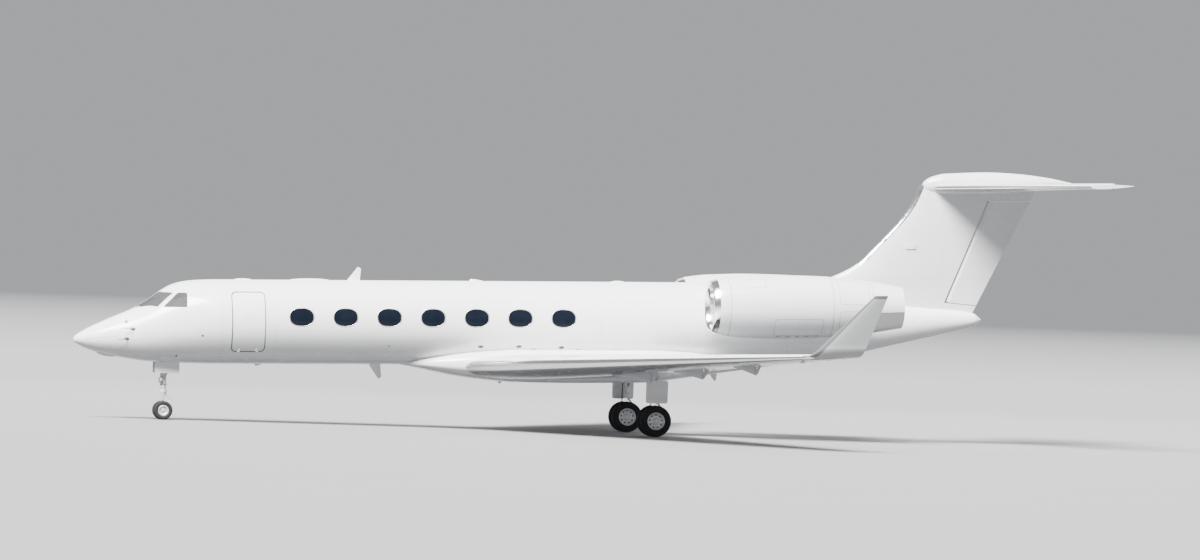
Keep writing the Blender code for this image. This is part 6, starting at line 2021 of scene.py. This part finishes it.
def cushion(low, high, crown, channels, axis_up, lean, pivot):
    """A padded form: crowned faces, sides pulled in between the corners and sewn channels."""
    bm = bmesh.new()
    low, high = Vector(low), Vector(high)
    middle, half = (low + high) / 2, (high - low) / 2
    bmesh.ops.create_cube(bm, size=2)
    bmesh.ops.subdivide_edges(bm, edges=bm.edges, cuts=23, use_grid_fill=True)
    other = 2 if axis_up == 0 else 0
    lines = [CHANNEL_SPREAD * ((2 * k + 1) / channels - 1) for k in range(channels)]
    for vert in bm.verts:
        p = vert.co.copy()
        ends = (1 - p[1] ** 2) * (1 - p[other] ** 2)
        edge = [1 - 0.10 * abs(p[b]) ** 6 * abs(p[c]) ** 6 for b, c in ((1, 2), (0, 2), (0, 1))]
        q = Vector([p[i] * edge[i] for i in range(3)])
        q[1] *= 1 - 0.035 * (1 - p[other] ** 4) * (p[axis_up] ** 2)
        groove = min(sum(math.exp(-(((p[other] - line) / 0.045) ** 2)) for line in lines), 1.0)
        seam = math.exp(-(((abs(p[1]) - SEAM_PLACE) / 0.03) ** 2))
        rise = crown * ends ** 0.5 - 0.007 * groove * (abs(p[1]) < SEAM_PLACE) - 0.006 * seam
        vert.co = middle + Vector([q[i] * half[i] for i in range(3)])
        if abs(p[axis_up]) > 0.999:
            vert.co[axis_up] += math.copysign(rise, p[axis_up]) if p[axis_up] > 0 else 0.3 * -rise
    bmesh.ops.rotate(bm, verts=bm.verts, cent=pivot, matrix=Matrix.Rotation(lean, 3, "Y"))
    bmesh.ops.smooth_vert(bm, verts=bm.verts, factor=0.5, use_axis_x=True, use_axis_y=True, use_axis_z=True)
    return bm


# Each seat pad as (front and back stations, levels, half breadth, crown, channels, up axis, lean, pivot).
SEAT_PADS = {
    "seat_cushion_": ((3.02, 3.44), (-0.50, -0.375), 0.205, 0.018, 3, 2, 4, (3.2, -0.45)),
    "seat_back_": ((3.455, 3.56), (-0.42, 0.10), 0.205, 0.016, 4, 0, 11, (3.5, -0.40)),
    "seat_headrest_": ((3.565, 3.635), (0.12, 0.28), 0.12, 0.012, 0, 0, 9, (3.6, 0.12)),
}
SEAT_PLACE = 0.40


def pilot_seat(side, hand):
    """A seat's frame on its rails, and its three leather pads."""
    middle = side * SEAT_PLACE
    seat = bmesh.new()
    add_block(seat, (3.10, middle - 0.16, DECK_LEVEL + DECK_GAP), (3.40, middle + 0.16, -0.55), 0.02)
    add_block(seat, (3.06, middle - 0.20, -0.555), (3.46, middle + 0.20, -0.505), 0.012)
    for way in (-1, 1):
        rail = middle + way * 0.205
        add_rod(seat, (3.12, rail, -0.52), (3.40, rail, -0.52), 0.012, paint=1)
    piece("seat_frame_" + hand, seat, [PANEL, FRAME_METAL], nodes=["pilot_seat_" + hand])
    for name, (stations, levels, half, crown, channels, axis_up, lean, pivot) in SEAT_PADS.items():
        low, high = [(station, middle + way * half, level) for station, level, way in
                     zip(stations, levels, (-1, 1))]
        pivot = (pivot[0], middle, pivot[1])
        shape = cushion(low, high, crown, channels, axis_up, math.radians(lean), pivot)
        pad = piece(name + hand, shape, [LEATHER], sharp=60)


# Probes, aerials, lamps and small marks.
def add_blade(bm, station, sign, span, chord, sweep, thick=0.10):
    """A swept blade standing on the crown or hanging from the keel."""
    _, up, down, water = hull_values(station)
    level = water + up if sign > 0 else water - down
    if sign < 0 and BELLY_DEPTH[0][0] < station < BELLY_DEPTH[-1][0]:
        level = -smooth(BELLY_DEPTH, station)
    rings = []
    for k in range(13):
        part = k / 12
        size = chord * (1 - 0.72 * part) * math.sqrt(max(1 - max(part - 0.85, 0) ** 2 / 0.0235, 0.05))
        nose = station + sweep * part
        start = -0.03 if k == 0 else 0.0
        height = level + sign * (span * part + start)
        rings.append([(nose + x, y, height) for x, y in foil(size, thick, 0.0, tip=0.001)])
    add_loft(bm, rings)


def add_pad(bm, station, level, side, size, lift, paint):
    """A small flat oval or round mark lying on the skin."""
    rows = []
    for scale, height in ((1.0, -0.002), (1.0, lift * 0.6), (0.9, lift), (0.05, lift)):
        outline = superellipse((station, level), (size[0] * scale, size[1] * scale), 1.0, 24)
        rows.append([hull_side_point(a, b, side, height) for a, b in outline])
    add_loft(bm, rows, paint=paint)


# Blades as (station, up or down, span, chord, sweep), domes as (station, half length, half breadth, height).
MAIN_BLADES = {"top": (7.79, 1, 0.37, 0.36, 0.30), "bottom": (8.42, -1, 0.40, 0.34, 0.28)}
DOMES = ((4.80, 0.26, 0.09, 0.035), (6.70, 0.58, 0.16, 0.045), (15.6, 0.20, 0.07, 0.03))
BLISTER_RUN = (0.66, 1.20)
# Marks on each side as (station, level), in groups that share a size.
PROBES = ((1.61, -0.21), (1.44, -0.49))
VANE = (1.44, -0.01)
ROUND_PORTS = ((2.85, -0.96, 0.028), (3.54, -0.38, 0.034), (8.85, -0.65, 0.022))
OVAL_VENTS = ((11.48, -0.66), (12.58, -0.65), (13.81, -0.67))
SLOTS = ((13.01, -0.73), (14.28, -0.74))
BEACON_STATION = 12.2
WIPER_RUN = (1.775, 2.235)
WING_WICKS = (10.6, 11.5, 12.4)
TAIL_WICKS = (1.5, 2.6)


def aerials_and_probes():
    """Everything small that stands on the skin."""
    for name, blade in MAIN_BLADES.items():
        bm = bmesh.new()
        add_blade(bm, *blade)
        piece("aerial_" + name, bm, [RADOME], nodes=["antenna_" + name], sharp=50)
    piece("aerials_small", small_aerials(), [RADOME], sharp=50)
    piece("probes_and_vents", probes_and_vents(), [POLISHED, FRAME_METAL, SEAL, DARK_SEAL_AND_SHADE],
          sharp=45)
    lamp = bmesh.new()
    dome = [(0.0, 0.055), (0.02, 0.053), (0.045, 0.042), (0.062, 0.022), (0.068, 0.004)]
    foot = (BEACON_STATION, 0, -smooth(BELLY_DEPTH, BEACON_STATION) + 0.006)
    add_turned(lamp, dome, foot, (0, 0, -1), 32)
    piece("beacon", lamp, [CLEAR_LENS])
    piece("wipers", wipers(), [DARK_SEAL_AND_SHADE])
    piece("static_wicks", static_wicks(), [DARK_SEAL_AND_SHADE])


def small_aerials():
    """Blades and domes too small for solids of their own."""
    small = bmesh.new()
    add_blade(small, 18.30, -1, 0.19, 0.22, 0.13)
    half_turn = [math.pi * j / 12 for j in range(13)]
    for station, reach, half, tall in DOMES:
        rings = []
        for k in range(25):
            along = -1 + k / 12
            size = max(1 - along * along, 0.0) ** 0.5 * 0.98 + 0.02
            x = station + reach * along
            ring = []
            for t in half_turn:
                y, z = half * size * math.cos(t), tall * size**1.4 * math.sin(t)
                ring.append((x, y, math.sqrt(CABIN_RADIUS**2 - y * y) + z - 0.002))
            rings.append([*ring, (x, 0.0, CABIN_RADIUS - 0.03)])
        add_loft(small, rings)
    rings = []
    for k in range(17):
        part = (1 - math.cos(math.pi * k / 16)) / 2
        station = BLISTER_RUN[0] + (BLISTER_RUN[1] - BLISTER_RUN[0]) * part
        size = max(math.sin(math.pi * part**0.75), 0.02) ** 0.6
        top, depth = smooth(KEEL, station) + 0.012, 0.012 + 0.05 * size
        rings.append([(station, 0.085 * size * math.cos(t), top - depth * math.sin(t)) for t in half_turn])
    add_loft(small, rings)
    add_blade(small, 11.3, 1, 0.05, 0.42, 0.03, thick=0.25)
    add_blade(small, 5.15, -1, 0.05, 0.22, 0.03, thick=0.2)
    return small


def add_probe(bm, station, level, side):
    """A bent tube that stands on its pad and points ahead."""
    foot = hull_side_point(station, level, side)
    out = hull_normal(foot)
    add_pad(bm, station, level, side, (0.075, 0.045), 0.003, 3)
    elbow = foot + out * 0.085 + Vector((-0.02, 0, 0))
    route = [foot - out * 0.01, foot + out * 0.05, elbow]
    route += [elbow - Vector((reach, 0, 0)) for reach in (0.13, 0.22)]
    add_tube(bm, curve(route, 6), 0.011, 14)


def probes_and_vents():
    """Bent probes, a vane, and the flat ports and vents of each side."""
    bm = bmesh.new()
    for side in (-1, 1):
        for station, level in PROBES:
            add_probe(bm, station, level, side)
        add_pad(bm, *VANE, side, (0.040, 0.040), 0.004, 3)
        vane = hull_side_point(*VANE, side)
        out = hull_normal(vane)
        add_rod(bm, vane, vane + out * 0.02, 0.022, 0.016)
        root = vane + out * 0.012
        add_rod(bm, root, root + Vector((0.10, 0, -0.01)), 0.008, 0.003)
        for station, level, size in ROUND_PORTS:
            add_pad(bm, station, level, side, (size, size), 0.003, 2)
        for station, level in OVAL_VENTS:
            add_pad(bm, station, level, side, (0.085, 0.040), 0.004, 2)
            # The dark inner pad is painted shade in the vent's opening.
            add_pad(bm, station, level, side, (0.060, 0.022), 0.0045, 3)
        for station, level in SLOTS:
            add_pad(bm, station, level, side, (0.120, 0.018), 0.006, 2)
    return bm


def wipers():
    """One arm lying up each windscreen, on its spindle."""
    bm = bmesh.new()
    for side in (-1, 1):
        points = []
        for k in range(9):
            part = k / 8
            station = WIPER_RUN[0] + (WIPER_RUN[1] - WIPER_RUN[0]) * part
            span = side * (0.20 + 0.10 * part)
            half, up, _, level = hull_values(station)
            point = Vector((station, span, level + up * math.sqrt(max(1 - (span / half) ** 2, 0))))
            points.append(point + hull_normal(point) * 0.012)
        add_tube(bm, points, 0.007, 10)
        add_rod(bm, points[0] - Vector((0.02, 0, 0.03)), points[0] + Vector((0.0, 0, 0.006)), 0.016)
    return bm


def static_wicks():
    """Thin rods trailing from the wings and the tailplane."""
    bm = bmesh.new()
    for side in (-1, 1):
        for span in WING_WICKS:
            tail = mirrored(wing_point(span, 1.0, 0.5, FINE_STEPS), side)
            add_rod(bm, tail - Vector((0.02, 0, 0)), tail + Vector((0.13, 0, -0.012)), 0.0035, 0.002, 8)
        for span in TAIL_WICKS:
            tail = Vector(tailplane_ring(side * span)[0])
            add_rod(bm, tail - Vector((0.02, 0, 0.004)), tail + Vector((0.12, 0, -0.01)), 0.0035, 0.002, 8)
    return bm


# Camera, light and floor.
CAMERA_YAW = math.radians(10.5)
CAMERA_RISE = math.radians(0.8)
CAMERA_DISTANCE = 200.0
CAMERA_STATION = 15.09
CAMERA_AIM = 1.245
CAMERA_ROLL = math.radians(0.45)
CAMERA_LENS = 210.0
KEY_POWER = 22.0
KEY_FROM = (-0.42, -0.62, 1.05)
KEY_SPREAD = math.radians(30)
FILL_POWER = 9000
FILL_PLACE = (12, 40, 24)
FILL_AIM = (0, 0, 3)
FILL_SIZE = (50, 20)
SURROUND = (0.43, 0.445, 0.465, 1)
FLOOR_RADII = (2.0, 20.0, 60.0, 160.0, 520.0)
FLOOR_FADE = (110.0, 480.0)


def camera():
    """A camera where the photograph was taken from."""
    target = Vector((CAMERA_STATION, 0, CAMERA_AIM))
    eye = Vector((
        CAMERA_STATION - CAMERA_DISTANCE * math.sin(CAMERA_YAW),
        -CAMERA_DISTANCE * math.cos(CAMERA_YAW),
        CAMERA_DISTANCE * math.sin(CAMERA_RISE),
    ))
    ahead = (target - eye).normalized()
    right = ahead.cross(Vector((0, 0, 1))).normalized()
    up = right.cross(ahead)
    rolled = right * math.cos(CAMERA_ROLL) + up * math.sin(CAMERA_ROLL)
    up = rolled.cross(ahead)
    turn = Matrix((rolled, up, -ahead)).transposed().to_4x4()
    data = bpy.data.cameras.new("camera")
    data.lens = CAMERA_LENS
    data.sensor_width = 36.0
    data.clip_end = 2000.0
    obj = bpy.data.objects.new("camera", data)
    obj.matrix_world = AIRFRAME @ Matrix.Translation(eye) @ turn
    bpy.context.scene.collection.objects.link(obj)
    bpy.context.scene.camera = obj


def add_light(name, kind, power, colour, direction):
    """A lamp that shines along a direction."""
    data = bpy.data.lights.new(name, kind)
    data.energy = power
    data.color = colour
    obj = bpy.data.objects.new(name, data)
    obj.rotation_euler = direction.to_track_quat("-Z", "Y").to_euler()
    bpy.context.scene.collection.objects.link(obj)
    return obj


def studio_lights():
    """A plain grey surround, one broad key light and one soft fill from the far side."""
    world = bpy.data.worlds.new("studio")
    bpy.context.scene.world = world
    world.use_nodes = True
    background = world.node_tree.nodes["Background"]
    background.inputs["Color"].default_value = SURROUND
    background.inputs["Strength"].default_value = 1.0
    key = add_light("key", "SUN", KEY_POWER, (1.0, 0.985, 0.965), -Vector(KEY_FROM))
    key.data.angle = KEY_SPREAD
    aim = Vector(FILL_AIM) - Vector(FILL_PLACE)
    fill = add_light("far_side", "AREA", FILL_POWER, (1, 1, 1), aim)
    fill.location = FILL_PLACE
    fill.data.shape = "RECTANGLE"
    fill.data.size, fill.data.size_y = FILL_SIZE


def studio_floor():
    """A pale floor that fades into the surround."""
    floor = bmesh.new()
    rows = [[floor.verts.new((radius * math.cos(a), radius * math.sin(a), 0.0)) for a in turns(128)]
            for radius in FLOOR_RADII]
    floor.faces.new(rows[0])
    for low, high in zip(rows, rows[1:]):
        for k in range(len(low)):
            floor.faces.new((low[k - 1], high[k - 1], high[k], low[k]))
    mesh = bpy.data.meshes.new("studio_floor")
    floor.to_mesh(mesh)
    floor.free()
    finish = Finish("studio_floor", (0.25, 0.252, 0.255), 0.75, on_ground=True)
    finish.tint(finish.span(finish.noise(0.15, 5.0), 0.3, 0.8, 0.0, 0.35), (0.23, 0.232, 0.235))
    reach = finish.add("ShaderNodeVectorMath", out=1, operation="LENGTH", ins=(finish.point,))
    fade = finish.span(reach, *FLOOR_FADE, 1.0, 0.0)
    finish.tree.links.new(fade, finish.shader.inputs["Alpha"])
    mesh.materials.append(finish.done())
    obj = bpy.data.objects.new("studio_floor", mesh)
    bpy.context.scene.collection.objects.link(obj)
    obj.visible_diffuse = False


def build():
    """Every piece, from the nose to the tail and then the gear."""
    nose_radome()
    cockpit()
    cabin()
    cabin_windows()
    airstair_door()
    aft_sections()
    belly_fairing()
    for side, hand in HANDS:
        wing(side, hand)
        winglet(side, hand)
        nacelle(side, hand)
        engine(side, hand)
        fan(side, hand)
        pylon(side, hand)
        main_gear(side, hand)
        pilot_seat(side, hand)
    fin_and_rudder()
    tailplane()
    nose_gear()
    nose_gear_doors()
    cockpit_interior()
    aerials_and_probes()
    floor_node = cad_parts["cabin_floor"]
    floor_node.data.materials.clear()
    floor_node.data.materials.append(CARPET)


camera()
studio_lights()
studio_floor()
build()
